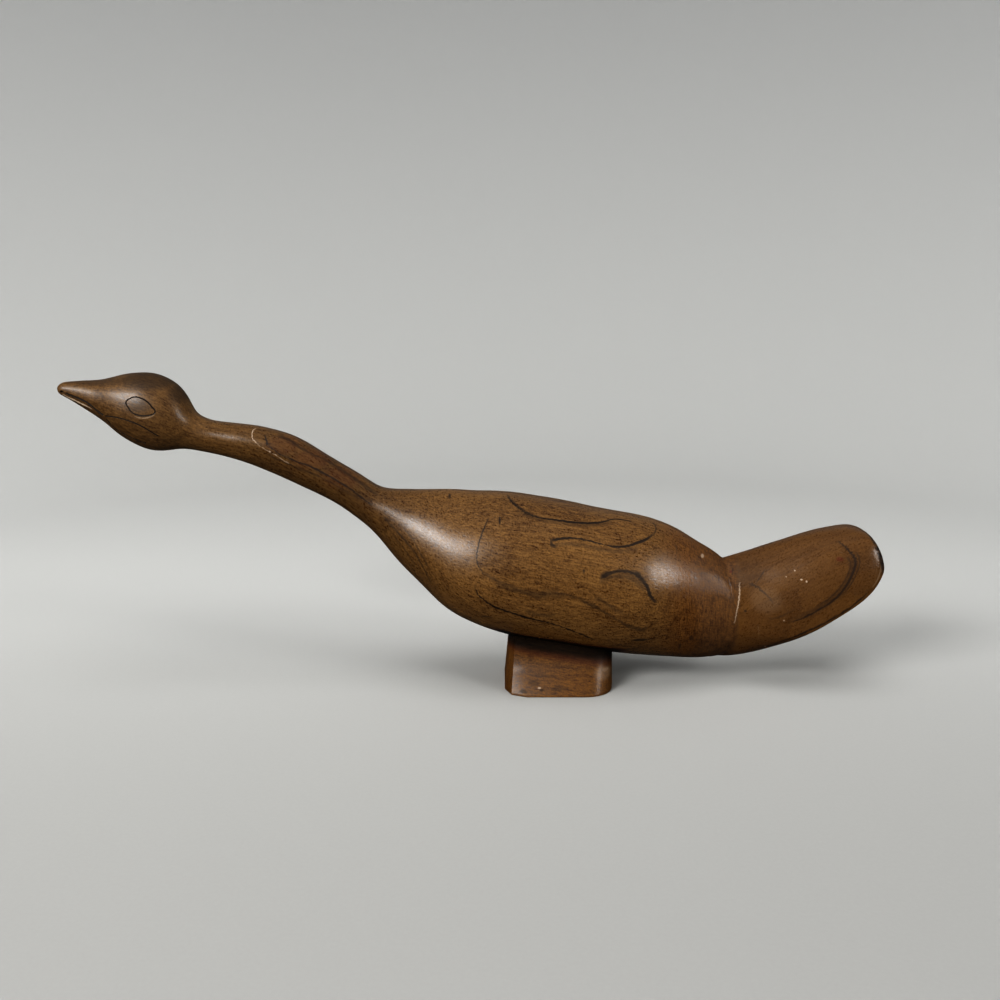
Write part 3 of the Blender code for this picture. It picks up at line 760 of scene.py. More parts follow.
STROKES = (
    Stroke("back_line", ((506.8, 494.3), (511.5, 501.4), (519.6, 508.8), (528.9, 514.6),
                         (539.6, 517.9), (553.0, 519.6), (566.4, 521.5), (579.8, 522.9),
                         (594.5, 523.0), (605.3, 521.2), (617.3, 519.2), (625.4, 520.2),
                         (633.0, 522.4)), 0.62, 0.95, 0.6, swell=0.4),
    Stroke("back_line_left", ((508.0, 496.0), (514.0, 503.0), (523.0, 510.2), (533.0, 515.6),
                              (543.0, 518.4)), 1.0, 0.75, 0.85),
    Stroke("back_branch", ((604.0, 512.0), (613.9, 513.4), (621.3, 514.8), (628.0, 517.8),
                           (633.0, 521.0)), 0.5, 0.45, 0.8),
    Stroke("shoulder_line", ((550.4, 540.7), (555.7, 539.4), (563.7, 538.3), (574.5, 538.3),
                             (586.5, 540.2), (597.2, 542.9), (606.6, 545.2), (617.3, 546.8),
                             (628.0, 545.7), (637.4, 542.7), (646.8, 539.0), (653.0, 534.0)),
           0.62, 0.9, 0.6, swell=0.3),
    Stroke("shoulder_hook", ((550.0, 540.5), (551.0, 543.0), (553.5, 545.5), (557.0, 546.5)),
           1.2, 0.75, 0.8),
    Stroke("shoulder_end", ((651.0, 536.5), (655.0, 532.0), (655.8, 527.5), (653.5, 523.5),
                            (648.0, 520.5)), 0.5, 0.6, 0.7, run=Run.UPWARD),
    Stroke("horseshoe_top", ((600.0, 577.6), (604.0, 575.8), (609.3, 573.7), (616.0, 571.6),
                             (625.4, 571.4), (634.7, 574.0), (642.8, 580.2), (646.8, 587.1)),
           1.45, 0.84, 0.75, swell=0.3),
    Stroke("horseshoe_end", ((640.0, 577.5), (645.5, 584.0), (648.6, 591.0), (651.5, 597.5),
                             (655.5, 603.0)), 1.25, 0.85, 0.65, run=Run.UPWARD),
    Stroke("side_band", ((483.5, 571.0), (491.4, 577.8), (501.0, 582.6), (510.2, 586.4),
                         (519.6, 590.4), (530.3, 593.2), (545.0, 593.8), (558.4, 593.6),
                         (569.1, 595.6), (580.0, 600.0)), 1.5, 0.42, 0.95, swell=0.3),
    Stroke("side_band_low", ((578.0, 598.0), (590.5, 604.5), (598.6, 608.6), (609.3, 615.3),
                             (620.0, 621.6), (630.7, 627.0), (641.4, 629.3), (648.0, 626.0)),
           1.15, 0.5, 0.9, swell=0.4),
    Stroke("belly_crack", ((474.7, 587.3), (478.0, 593.8), (484.7, 600.5), (494.1, 606.6),
                           (504.8, 610.6), (515.5, 613.9), (527.6, 617.9), (539.6, 620.6),
                           (550.4, 623.3), (561.1, 626.6), (571.8, 630.7), (582.5, 634.9),
                           (596.0, 640.2)), 0.52, 0.95, 0.6, swell=0.35),
    Stroke("belly_smudge", ((524.0, 611.0), (534.0, 613.6), (545.0, 615.4), (556.0, 614.0)),
           1.5, 0.35, 1.0),
    Stroke("front_edge", ((488.3, 517.6), (485.2, 525.7), (482.0, 533.6), (478.6, 545.0),
                          (476.9, 556.0), (477.6, 563.6), (480.6, 569.4), (485.2, 575.4)),
           0.44, 0.8, 0.7, run=Run.UPWARD),
    Stroke("breast_line", ((382.6, 515.6), (394.1, 528.2), (404.5, 539.7), (412.5, 549.2),
                           (419.4, 560.4), (425.1, 571.0), (432.0, 583.8)), 0.95, 0.62, 0.95),
    Stroke("breast_line_upper", ((398.0, 522.0), (406.0, 530.5), (412.5, 538.6), (418.2, 548.9),
                                 (424.0, 559.2), (430.0, 571.2)), 0.6, 0.5, 0.9),
    Stroke("breast_line_low", ((388.0, 528.0), (396.0, 538.5), (404.0, 549.0), (410.5, 558.0),
                               (416.0, 566.0)), 0.8, 0.4, 1.0),
    Stroke("breast_fleck", ((445.6, 557.6), (447.6, 560.8), (449.4, 564.2)), 0.5, 0.5, 0.9),
    Stroke("neck_scratch", ((256.4, 428.2), (252.6, 431.4), (251.8, 435.6), (254.2, 440.8),
                            (258.6, 444.9)), 0.24, 0.8, 0.7, run=Run.UPWARD, tone=Tone.PALE),
    Stroke("neck_scratch_low", ((256.6, 443.2), (263.0, 448.2), (269.8, 451.9), (281.0, 458.9),
                                (289.0, 463.9)), 0.2, 0.75, 0.8, tone=Tone.PALE),
    Stroke("neck_ring", ((265.9, 435.0), (265.6, 438.4), (267.6, 443.4), (272.0, 448.2)),
           0.55, 0.85, 0.7, run=Run.UPWARD),
    Stroke("neck_line", ((269.4, 446.0), (274.0, 450.0), (283.8, 456.1), (296.5, 461.7),
                         (310.5, 466.6), (323.1, 473.0), (335.7, 480.0), (348.4, 487.7),
                         (362.4, 498.2), (376.4, 508.0)), 0.62, 0.85, 0.8, swell=0.3),
    Stroke("neck_line_low", ((268.0, 453.6), (278.2, 459.8), (299.3, 468.8), (320.3, 477.2),
                             (341.4, 488.4), (360.0, 500.0)), 0.8, 0.4, 1.0),
    Stroke("neck_line_top", ((278.0, 436.0), (286.0, 438.4), (296.5, 444.9), (310.5, 453.3),
                             (320.3, 457.4), (334.0, 465.0), (348.4, 474.4), (362.4, 484.2),
                             (379.2, 495.4)), 1.2, 0.55, 1.0, swell=0.4),
    Stroke("tail_oval", ((837.3, 540.7), (845.6, 547.3), (852.2, 554.8), (855.4, 562.0),
                         (853.9, 570.0), (848.9, 581.3), (842.3, 591.2), (832.3, 601.2),
                         (819.1, 609.5), (805.8, 616.8), (795.9, 621.4)), 0.95, 0.8, 0.8,
           run=Run.UPWARD, swell=0.4),
    Stroke("tail_smudge", ((850.0, 560.0), (851.5, 570.0), (846.0, 583.0), (838.0, 593.0),
                           (828.0, 602.0), (814.0, 610.5), (802.0, 617.5)), 2.6, 0.3, 1.0,
           run=Run.UPWARD),
    Stroke("tail_oval_inner", ((847.0, 557.0), (850.6, 563.0), (849.5, 570.0), (844.6, 581.0),
                               (837.6, 590.6), (827.6, 599.6), (815.0, 607.2)), 0.6, 0.6, 0.9,
           run=Run.UPWARD),
    Stroke("tail_oval_outer", ((855.5, 552.0), (859.2, 559.0), (859.5, 566.0), (856.4, 574.0),
                               (850.4, 585.0), (842.0, 595.4)), 0.55, 0.6, 0.8, run=Run.UPWARD),
    Stroke("tail_faint_line", ((769.3, 619.4), (778.0, 617.4), (787.0, 613.6), (795.2, 609.0)),
           0.6, 0.35, 1.0),
    Stroke("crease_crack", ((764.8, 569.5), (762.6, 573.4), (759.0, 578.8), (755.6, 583.6)),
           0.5, 0.6, 0.7, run=Run.UPWARD),
    Stroke("crease_crack_low", ((748.6, 581.0), (754.4, 584.6), (761.6, 590.4), (767.6, 596.0),
                                (773.6, 602.6)), 0.5, 0.65, 0.7),
    Stroke("tail_scratch", ((758.4, 625.0), (758.7, 632.0), (758.5, 640.0)), 0.15, 0.22, 0.8,
           run=Run.UPWARD, tone=Tone.PALE),
    Stroke("back_smudge", ((516.0, 508.0), (529.0, 516.0), (545.0, 520.5), (566.0, 523.5),
                           (590.0, 525.0), (612.0, 522.0)), 1.6, 0.34, 1.0),
    Stroke("shoulder_smudge", ((553.0, 546.0), (566.0, 544.0), (586.0, 546.0), (604.0, 550.0),
                               (620.0, 551.0), (640.0, 546.0)), 1.6, 0.34, 1.0),
    Stroke("horseshoe_smudge", ((599.0, 581.0), (607.0, 578.0), (616.0, 576.0), (627.0, 577.0),
                                (637.0, 582.0), (645.0, 590.0)), 2.4, 0.42, 1.0),
    Stroke("horseshoe_foot", ((594.0, 597.0), (604.0, 602.0), (613.0, 608.0), (624.0, 614.0)),
           1.8, 0.4, 1.0),
    Stroke("side_band_dark", ((496.0, 582.0), (508.0, 588.0), (522.0, 592.0), (538.0, 596.0),
                              (552.0, 594.0), (566.0, 597.0)), 2.4, 0.38, 1.0, swell=0.4),
    # painted shade along the tail's lower edge, where the tail turns under
    Stroke("tail_edge", ((752.0, 649.8), (772.0, 644.6), (788.0, 639.0), (804.0, 632.8),
                         (820.0, 625.6), (836.0, 616.6), (852.0, 606.4), (860.0, 600.2),
                         (868.0, 592.8)), 0.55, 0.85, 0.9),
    # painted highlight on the rounded edge at the tail's end
    Stroke("tail_gloss", ((881.5, 561.0), (880.6, 571.0), (877.4, 580.0), (872.0, 588.0)),
           0.6, 0.20, 1.0, run=Run.UPWARD, tone=Tone.PALE),
    Stroke("crease_gleam", ((739.6, 582.0), (739.6, 592.0), (738.6, 602.0), (736.6, 612.0),
                            (734.4, 622.0)), 0.5, 0.6, 0.9, run=Run.UPWARD, tone=Tone.PALE),
    # painted highlight on the eye's lower lip
    Stroke("eye_lip", ((134.0, 416.4), (141.0, 418.2), (148.0, 417.8), (154.6, 415.0)), 0.3, 0.36,
           0.8, tone=Tone.PALE),
    # painted highlights along the top of the beak and over the brow
    Stroke("beak_wear", ((65.0, 386.4), (74.0, 387.6), (84.0, 389.4), (96.0, 392.6)), 1.1, 0.12,
           1.0, tone=Tone.PALE),
    Stroke("brow_wear", ((100.0, 392.4), (112.0, 392.8), (124.0, 393.6), (136.0, 394.6)), 1.1,
           0.05, 1.0, tone=Tone.PALE),
    # painted highlight on the lower beak's edge, under the mouth
    Stroke("mouth_lip", ((62.0, 394.0), (68.0, 397.2), (76.0, 401.0), (84.0, 404.8),
                         (92.0, 409.0)), 0.6, 0.85, 0.7, tone=Tone.PALE),
    Stroke("chin_edge", ((68.0, 400.2), (76.0, 404.6), (86.0, 410.0), (96.0, 416.4),
                         (103.0, 421.0)), 0.5, 0.8, 0.8),
)


@dataclass(frozen=True)
class Spot:
    """A small mark of figure, wear, painted highlight or painted shade, by its middle pixel. reach
    is its half length and half height in mm.
    """

    name: str
    pixel: Pixel
    reach: tuple[float, float]
    depth: float
    tone: Tone = Tone.INK


SPOTS = (
    Spot("shoulder_pore", (499.7, 520.6), (0.42, 1.5), 0.9),
    Spot("back_pore", (449.5, 496.0), (0.5, 0.9), 0.75),
    Spot("side_pore", (583.8, 571.2), (0.5, 0.75), 0.6),
    Spot("belly_mark", (640.5, 639.8), (3.6, 0.75), 0.7),
    Spot("belly_fleck", (486.5, 616.6), (2.4, 0.4), 0.5),
    Spot("rump_mark", (679.8, 646.6), (0.5, 1.8), 0.6),
    Spot("rump_mark_low", (691.4, 638.2), (0.9, 1.2), 0.5),
    Spot("rump_line", (676.5, 549.0), (0.3, 2.0), 0.4),
    Spot("crease_dot", (730.9, 571.6), (0.55, 0.55), 0.8, Tone.RUST),
    Spot("rump_chip", (702.4, 555.8), (0.75, 0.75), 0.5, Tone.PALE),
    Spot("tail_dot", (745.3, 611.0), (0.55, 0.55), 0.7),
    Spot("tail_knot", (840.0, 559.2), (1.5, 0.9), 0.6, Tone.RUST),
    Spot("tail_fleck_a", (794.8, 570.6), (0.3, 0.3), 0.8, Tone.PALE),
    Spot("tail_fleck_b", (801.4, 579.6), (0.5, 0.35), 0.8, Tone.PALE),
    Spot("tail_fleck_c", (806.6, 581.6), (0.35, 0.45), 0.7, Tone.PALE),
    Spot("tail_fleck_d", (786.2, 576.8), (0.3, 0.25), 0.6, Tone.PALE),
    Spot("tail_fleck_e", (765.2, 646.4), (0.4, 0.3), 0.7, Tone.PALE),
    Spot("tail_fleck_f", (784.0, 620.6), (0.35, 0.3), 0.5, Tone.PALE),
    Spot("foot_chip", (541.5, 690.2), (0.9, 0.5), 0.7),
    Spot("foot_fleck", (539.4, 688.0), (0.7, 0.35), 0.6, Tone.PALE),
    Spot("foot_mark", (523.5, 691.5), (1.6, 0.7), 0.55),
    Spot("foot_smudge_a", (534.0, 683.0), (2.6, 1.2), 0.35),
    Spot("foot_smudge_b", (560.0, 688.5), (3.4, 1.0), 0.3),
    Spot("foot_smudge_c", (548.0, 676.0), (3.0, 0.5), 0.3),
    Spot("eye_grain", (139.0, 405.5), (4.6, 3.0), 0.3),
    Spot("foot_sheen", (603.5, 673.0), (3.8, 2.6), 0.16, Tone.PALE),
    Spot("foot_sheen_core", (605.5, 669.5), (1.7, 0.8), 0.3, Tone.PALE),
    Spot("beak_shade", (98.0, 380.5), (13.0, 1.9), 0.45),
    Spot("nape_mark", (140.0, 377.5), (2.2, 0.8), 0.4),
    Spot("crown_shade", (152.0, 379.0), (13.0, 4.0), 0.62),
    Spot("crown_shade_back", (184.0, 389.0), (4.2, 5.0), 0.55),
    Spot("tail_sheen", (766.0, 600.0), (6.0, 5.2), 0.075, Tone.PALE),
    # a darker patch at the tail's root, by the crease
    Spot("tail_root_dark", (747.0, 573.0), (6.0, 5.6), 0.13),
    Spot("throat_mark", (138.0, 441.5), (1.4, 0.8), 0.45),
    Spot("hump_red_a", (284.0, 445.0), (7.0, 3.6), 0.16, Tone.RUST),
    Spot("hump_red_b", (312.0, 459.0), (7.5, 4.0), 0.18, Tone.RUST),
    Spot("hump_red_c", (342.0, 477.0), (8.0, 4.4), 0.16, Tone.RUST),
)


class Chart:
    """Finds a place on the goose by the way along it and round it.

    Along is x in millimetres. Turn is the angle in radians from level to the back or the belly,
    seen from the middle of the form at that x. Reach is the distance from that middle in mm.
    """

    def __init__(self, rows: np.ndarray) -> None:
        """Read the middle line from placed sections.

        Args:
            rows: faired sections from the beak to the end of the tail.
        """
        middles = (rows[:, 0:2] + rows[:, 2:4]) / 2 / MM
        order = np.argsort(middles[:, 0])
        ends = middles[order[0], 0], middles[order[-1], 0]
        self.xs = np.linspace(*ends, 48)
        self.heights = np.interp(self.xs, middles[order, 0], middles[order, 1])

    def read(self, spot: Vector) -> tuple[float, float, float]:
        """Chart a point of the skin.

        Args:
            spot: the point, in metres.

        Returns:
            Along, turn and reach.
        """
        height = spot.z / MM - float(np.interp(spot.x / MM, self.xs, self.heights))
        out = abs(spot.y) / MM
        return spot.x / MM, math.atan2(height, out), math.hypot(height, out)


class Graph:
    """Adds nodes to a shader tree and joins them."""

    def __init__(self, tree: bpy.types.NodeTree) -> None:
        """Keep the tree."""
        self.tree = tree

    def node(self, kind: str, inputs: dict | None = None, **settings) -> bpy.types.Node:
        """Add a node.

        Args:
            kind: Blender's name for the node, without its ShaderNode.
            inputs: values or sockets by input name or number.
            settings: the node's own settings.

        Returns:
            The node.
        """
        made = self.tree.nodes.new("ShaderNode" + kind)
        for key, value in settings.items():
            setattr(made, key, value)
        for key, value in (inputs or {}).items():
            if isinstance(value, Socket):
                self.tree.links.new(value, made.inputs[key])
            else:
                made.inputs[key].default_value = value
        return made

    def math(self, operation: str, *values: Value, clamp: bool = False) -> Socket:
        """Add a Math node and give its result."""
        made = self.node("Math", dict(enumerate(values)), operation=operation, use_clamp=clamp)
        return made.outputs[0]

    def vector(self, operation: str, *values: Socket | tuple) -> Socket:
        """Add a Vector Math node and give its result."""
        made = self.node("VectorMath", dict(enumerate(values)), operation=operation)
        return made.outputs["Value" if operation == "LENGTH" else "Vector"]

    def remap(self, value: Value, low: Value, high: Value, to_low: float = 0.0,
              to_high: float = 1.0, smooth: bool = True) -> Socket:
        """Map a range onto another, eased at its ends unless smooth is off."""
        made = self.node("MapRange", {0: value, 1: low, 2: high, 3: to_low, 4: to_high},
                         interpolation_type="SMOOTHSTEP" if smooth else "LINEAR")
        return made.outputs[0]

    def mix(self, share: Value, first: Paint, second: Paint, blend: str = "MIX") -> Socket:
        """Mix two colours by a share and give the result."""
        made = self.node("Mix", {0: share, 6: first, 7: second}, data_type="RGBA",
                         blend_type=blend)
        return made.outputs[2]

    def noise(self, place: Socket, scale: float, detail: float, rough: float = 0.5) -> Socket:
        """Add a noise and give its value, from 0 to 1."""
        made = self.node("TexNoise", {"Vector": place, "Scale": scale, "Detail": detail,
                                      "Roughness": rough})
        return made.outputs[0]

    def group(self, tree: bpy.types.NodeTree, inputs: dict) -> bpy.types.bpy_prop_collection:
        """Place a node group and give its outputs."""
        return self.node("Group", inputs, node_tree=tree).outputs

    def product(self, *values: Value) -> Socket:
        """Multiply values and give the result."""
        result = values[0]
        for value in values[1:]:
            result = self.math("MULTIPLY", result, value)
        return result

    def sway(self, base: Value, mask: Socket, weight: Value) -> Socket:
        """Add to a value what a mask has over one half, times a weight."""
        return self.math("MULTIPLY_ADD", self.math("SUBTRACT", mask, 0.5), weight, base)

    def tint(self, share: Value, colour: Socket, tint: Colour) -> Socket:
        """Multiply a colour by a tint, as far as a share says."""
        return self.mix(share, colour, self.mix(1.0, colour, tint, "MULTIPLY"))

    def curve(self, value: Socket, xs: np.ndarray, ys: np.ndarray) -> Socket:
        """Read a curve through points.

        Args:
            value: where to read it.
            xs: the points' places, rising.
            ys: the points' values.

        Returns:
            The curve's value.
        """
        low, high = float(ys.min()) - 0.01, float(ys.max()) + 0.01
        share = self.remap(value, float(xs[0]), float(xs[-1]), smooth=False)
        made = self.node("FloatCurve", {"Value": share})
        made.mapping.use_clip = False
        made.mapping.extend = "HORIZONTAL"
        across, up = (xs - xs[0]) / (xs[-1] - xs[0]), (ys - low) / (high - low)
        points = made.mapping.curves[0].points
        points[0].location, points[1].location = (across[0], up[0]), (across[-1], up[-1])
        for spot in list(zip(across, up))[1:-1]:
            points.new(*spot)
        made.mapping.update()
        return self.math("MULTIPLY_ADD", made.outputs[0], high - low, low)


class NodeGroup(Graph):
    """A shader node group while it is built."""

    def __init__(self, name: str, inputs: dict[str, str], outputs: dict[str, str]) -> None:
        """Make the empty group.

        Args:
            name: the group's name.
            inputs: kinds of socket by name.
            outputs: kinds of socket by name.
        """
        super().__init__(bpy.data.node_groups.new(name, "ShaderNodeTree"))
        for direction, sockets in (("INPUT", inputs), ("OUTPUT", outputs)):
            for socket, kind in sockets.items():
                self.tree.interface.new_socket(name=socket, in_out=direction,
                                               socket_type="NodeSocket" + kind)
        self.source = self.tree.nodes.new("NodeGroupInput").outputs
        self.sink = self.tree.nodes.new("NodeGroupOutput").inputs

    def give(self, **results: Socket) -> bpy.types.NodeTree:
        """Join results to the group's outputs and give its tree."""
        for name, socket in results.items():
            self.tree.links.new(socket, self.sink[name])
        return self.tree


def floats(*names: str) -> dict[str, str]:
    """Give the kinds of sockets that hold one number."""
    return dict.fromkeys(names, "Float")


class WoodGroups:
    """The node groups that the wood is made of, each built once.

    Spans are in mm, a scale is a noise's per mm along, across and up, and HEART is the middle
    of the growth rings.
    """

    FAR_SPAN = (-1.0, 7.0)
    WANDER_SCALE = 0.045
    FAR_SHIFT, SHIFT_WANDER = 7.0, 26.0
    FAR_TILT, TILT_WANDER = -0.13, 0.9
    FOOT_SPAN, FOOT_TOP = (26.0, 19.0), (20.0, 16.0)
    SHADOW_SLOPE = 0.16
    SHADOW_EDGE, SHADOW_TOP, SHADOW_SIDE = (10.5, 16.5), (28.0, 24.0), (15.0, 12.8)
    LOBE_SPAN, RUMP_SPAN = (63.6, 65.4), (32.0, 46.0)
    CLOUD_SCALE = (0.02, 0.055, 0.055)
    RING_SCALE, HEART = (0.06, 1.0, 0.62), (0.0, 62.0, -9.0)
    RING_RISE, RING_FALL = (0.35, 0.96), (1.0, 0.955)
    STREAK_SCALE = (0.11, 1.5, 1.5)
    DASH_SCALE, UPRIGHT_SCALE = (0.42, 1.9, 1.9), (1.7, 0.8, 0.33)
    SPECK_SCALE = 1.55
    PORE_FLOOR, PORE_EDGE = 0.86, 0.05
    SPOT_EDGE = (1.2, 0.5)

    def __init__(self, chart: Chart) -> None:
        """Build the groups for a goose with this chart."""
        self.place = self.place_group(chart)
        self.grain = self.grain_group()
        self.stroke = self.stroke_group()
        self.spot = self.spot_group()

    def place_group(self, chart: Chart) -> bpy.types.NodeTree:
        """Chart a position on the goose, with the far side's figure set off from the near one's.

        Args:
            chart: the middle line.

        Returns:
            A group from Position to Along, Turn, Reach, Fibre (a vector in mm whose height
            follows the form), Shadow (1 on the foot's dark top), Block (1 on the foot's
            faces), Rump and Lobe (1 on the rump and on the tail) and Middle (x in mm, the same
            on both sides).
        """
        graph = NodeGroup("goose_place", {"Position": "Vector"}, {"Fibre": "Vector"} | floats(
            "Along", "Turn", "Reach", "Shadow", "Block", "Rump", "Lobe", "Middle"))
        scaled = graph.vector("MULTIPLY", graph.source["Position"], TO_MM)
        x, y, z = graph.node("SeparateXYZ", {0: scaled}).outputs
        height = graph.math("SUBTRACT", z, graph.curve(x, chart.xs, chart.heights))
        out = graph.math("ABSOLUTE", y)
        far = graph.remap(y, *self.FAR_SPAN)
        turn = graph.math("ARCTAN2", height, out)
        reach = graph.math("SQRT", graph.math("ADD", graph.product(out, out),
                                              graph.product(height, height)))
        wander = graph.noise(scaled, self.WANDER_SCALE, 1.0)
        shift = graph.product(far, graph.sway(self.FAR_SHIFT, wander, self.SHIFT_WANDER))
        tilt = graph.product(far, graph.sway(self.FAR_TILT, wander, self.TILT_WANDER))
        fibre = graph.node("CombineXYZ", {0: x, 1: y, 2: height})
        ahead = graph.remap(graph.math("ABSOLUTE", x), *self.FOOT_SPAN)
        block = graph.product(graph.remap(z, *self.FOOT_TOP), ahead)
        under = graph.math("MULTIPLY_ADD", x, self.SHADOW_SLOPE, z)
        shadow = graph.product(graph.remap(under, *self.SHADOW_EDGE), ahead,
                               graph.remap(z, *self.SHADOW_TOP),
                               graph.remap(out, *self.SHADOW_SIDE))
        lobe = graph.remap(x, *self.LOBE_SPAN)
        rump = graph.math("SUBTRACT", graph.remap(x, *self.RUMP_SPAN), lobe)
        return graph.give(Along=graph.math("ADD", x, shift), Turn=graph.math("ADD", turn, tilt),
                          Reach=reach, Fibre=fibre.outputs[0], Shadow=shadow, Block=block,
                          Rump=rump, Lobe=lobe, Middle=x)

    def grain_group(self) -> bpy.types.NodeTree:
        """Grow the wood: rings round a heart beyond the far side, fibres and open pores.

        Returns:
            A group from Fibre, Ring Width, Wander, Pore Share and Rump (where the fibres stand
            upright) to the masks Ring, Streak, Dash, Speck, Pore and Cloud.
        """
        graph = NodeGroup(
            "goose_grain", {"Fibre": "Vector"} | floats("Ring Width", "Wander", "Pore Share",
                                                        "Rump"),
            floats("Ring", "Streak", "Dash", "Speck", "Pore", "Cloud"))
        fibre = graph.source["Fibre"]
        cloud = graph.noise(graph.vector("MULTIPLY", fibre, self.CLOUD_SCALE), 1.0, 3.0, 0.55)
        heart = graph.vector("SUBTRACT", graph.vector("MULTIPLY", fibre, self.RING_SCALE),
                             self.HEART)
        radius = graph.sway(graph.vector("LENGTH", heart), cloud, graph.source["Wander"])
        phase = graph.math("FRACT", graph.math("DIVIDE", radius, graph.source["Ring Width"]))
        late = graph.remap(phase, *self.RING_RISE)
        ring = graph.product(late, graph.remap(phase, *self.RING_FALL))
        streak = graph.noise(graph.vector("MULTIPLY", fibre, self.STREAK_SCALE), 1.0, 4.0, 0.62)
        level, upright = (graph.noise(graph.vector("MULTIPLY", fibre, scale), 1.0, 2.5, 0.62)
                          for scale in (self.DASH_SCALE, self.UPRIGHT_SCALE))
        dash = graph.math("MULTIPLY_ADD", graph.math("SUBTRACT", upright, level),
                          graph.source["Rump"], level)
        speck = graph.noise(fibre, self.SPECK_SCALE, 2.0, 0.7)
        floor = graph.math("SUBTRACT", self.PORE_FLOOR, graph.source["Pore Share"])
        pore = graph.remap(dash, floor, graph.math("ADD", floor, self.PORE_EDGE))
        return graph.give(Ring=ring, Streak=streak, Dash=dash, Speck=speck, Pore=pore,
                          Cloud=cloud)

    def stroke_group(self) -> bpy.types.NodeTree:
        """Draw one line of figure where the distance from its middle is small.

        Returns:
            A group from Value and Middle (in the same units), Scale (mm in such a unit), Half
            Width in mm, Depth and Blur to Mask.
        """
        graph = NodeGroup("goose_stroke", floats("Value", "Middle", "Scale", "Half Width",
                                                 "Depth", "Blur"), floats("Mask"))
        value, middle, scale, half, depth, blur = list(graph.source)[:6]
        away = graph.product(graph.math("SUBTRACT", value, middle), scale)
        inner = graph.product(half, graph.math("SUBTRACT", 1.0, blur))
        line = graph.remap(graph.math("ABSOLUTE", away), half, inner)
        return graph.give(Mask=graph.product(line, depth))

    def spot_group(self) -> bpy.types.NodeTree:
        """Draw one small mark round a point.

        Returns:
            A group from Place, Middle and Size (vectors in mm) and Depth to Mask.
        """
        vectors = dict.fromkeys(("Place", "Middle", "Size"), "Vector")
        graph = NodeGroup("goose_spot", vectors | floats("Depth"), floats("Mask"))
        place, middle, size, depth = list(graph.source)[:4]
        away = graph.vector("DIVIDE", graph.vector("SUBTRACT", place, middle), size)
        mark = graph.remap(graph.vector("LENGTH", away), *self.SPOT_EDGE)
        return graph.give(Mask=graph.product(mark, depth))


@dataclass(frozen=True)
class Figure:
    """Draws the wood's figure, its scratches and chips, and painted highlights and shade where the
    photograph has them.

    shake is how far the strokes' edges wander, in mm, and spread widens every stroke.
    """

    chart: Chart
    groups: WoodGroups
    view: ViewPoint
    tree: BVHTree
    shake: float = 1.5
    shake_scale: tuple[float, float, float] = (0.7, 1.5, 1.5)
    spread: float = 1.6
    spot_depth: float = 3.0
    end_fade: float = 12.0
    swell_turn: float = 9.0

    def masks(self, graph: Graph, place: dict) -> dict[Tone, Socket]:
        """Draw all spots and strokes.

        Spots come first and each mask is joined at once, so that the shader holds few values.

        Args:
            graph: the material's nodes.
            place: the outputs of the place group.

        Returns:
            One mask for each tone.
        """
        masks = {}
        along = graph.vector("MULTIPLY", place["Fibre"], self.shake_scale)
        shake = graph.sway(0.0, graph.noise(along, 1.0, 3.0, 0.7), self.shake)
        turned = graph.math("DIVIDE", shake, place["Reach"])
        shaken = {"Along": graph.math("ADD", place["Along"], shake),
                  "Turn": graph.math("ADD", place["Turn"], turned), "Reach": place["Reach"]}
        position = graph.vector("MULTIPLY", graph.node("TexCoord").outputs["Object"], TO_MM)
        for spot in SPOTS:
            middle = self.view.hit(self.tree, spot.pixel) / MM
            size = (spot.reach[0], max(spot.reach) * self.spot_depth, spot.reach[1])
            mark = graph.group(self.groups.spot, {"Place": position, "Middle": middle,
                                                  "Size": size, "Depth": spot.depth})[0]
            masks[spot.tone] = graph.math("MAXIMUM", mark, masks.get(spot.tone, 0.0))
        for stroke in STROKES:
            line = self.draw(graph, shaken, stroke)
            masks[stroke.tone] = graph.math("MAXIMUM", line, masks[stroke.tone])
        return masks

    def draw(self, graph: Graph, place: dict, stroke: Stroke) -> Socket:
        """Draw one stroke as a curve in the chart.

        Args:
            graph: the material's nodes.
            place: Along, Turn and Reach, shaken a little so that the edges are rough.
            stroke: the stroke.

        Returns:
            The stroke's mask.
        """
        knots = [self.chart.read(self.view.hit(self.tree, pixel)) for pixel in stroke.pixels]
        along, turn, reach = np.array(knots).T
        lengthwise = stroke.run is Run.LENGTHWISE
        where, value = (along, turn) if lengthwise else (turn, along)
        order = np.argsort(where)
        where, value, reach = where[order], value[order], reach[order]
        slope = np.gradient(value, where) * (reach if lengthwise else 1 / reach)
        share = np.linspace(0.0, 1.0, len(where))
        swell = 1 + stroke.swell * np.sin(share * self.swell_turn + len(stroke.name))
        half = self.spread * stroke.width / 2 * np.sqrt(1 + slope ** 2) * swell
        ends = np.minimum(1.0, np.minimum(share, 1 - share) * self.end_fade)
        driver = place["Along" if lengthwise else "Turn"]
        return graph.group(self.groups.stroke, {
            "Value": place["Turn" if lengthwise else "Along"],
            "Middle": graph.curve(driver, where, value),
            "Scale": place["Reach"] if lengthwise else 1.0,
            "Half Width": graph.curve(driver, where, half),
            "Depth": graph.curve(driver, where, ends * stroke.depth), "Blur": stroke.blur})[0]


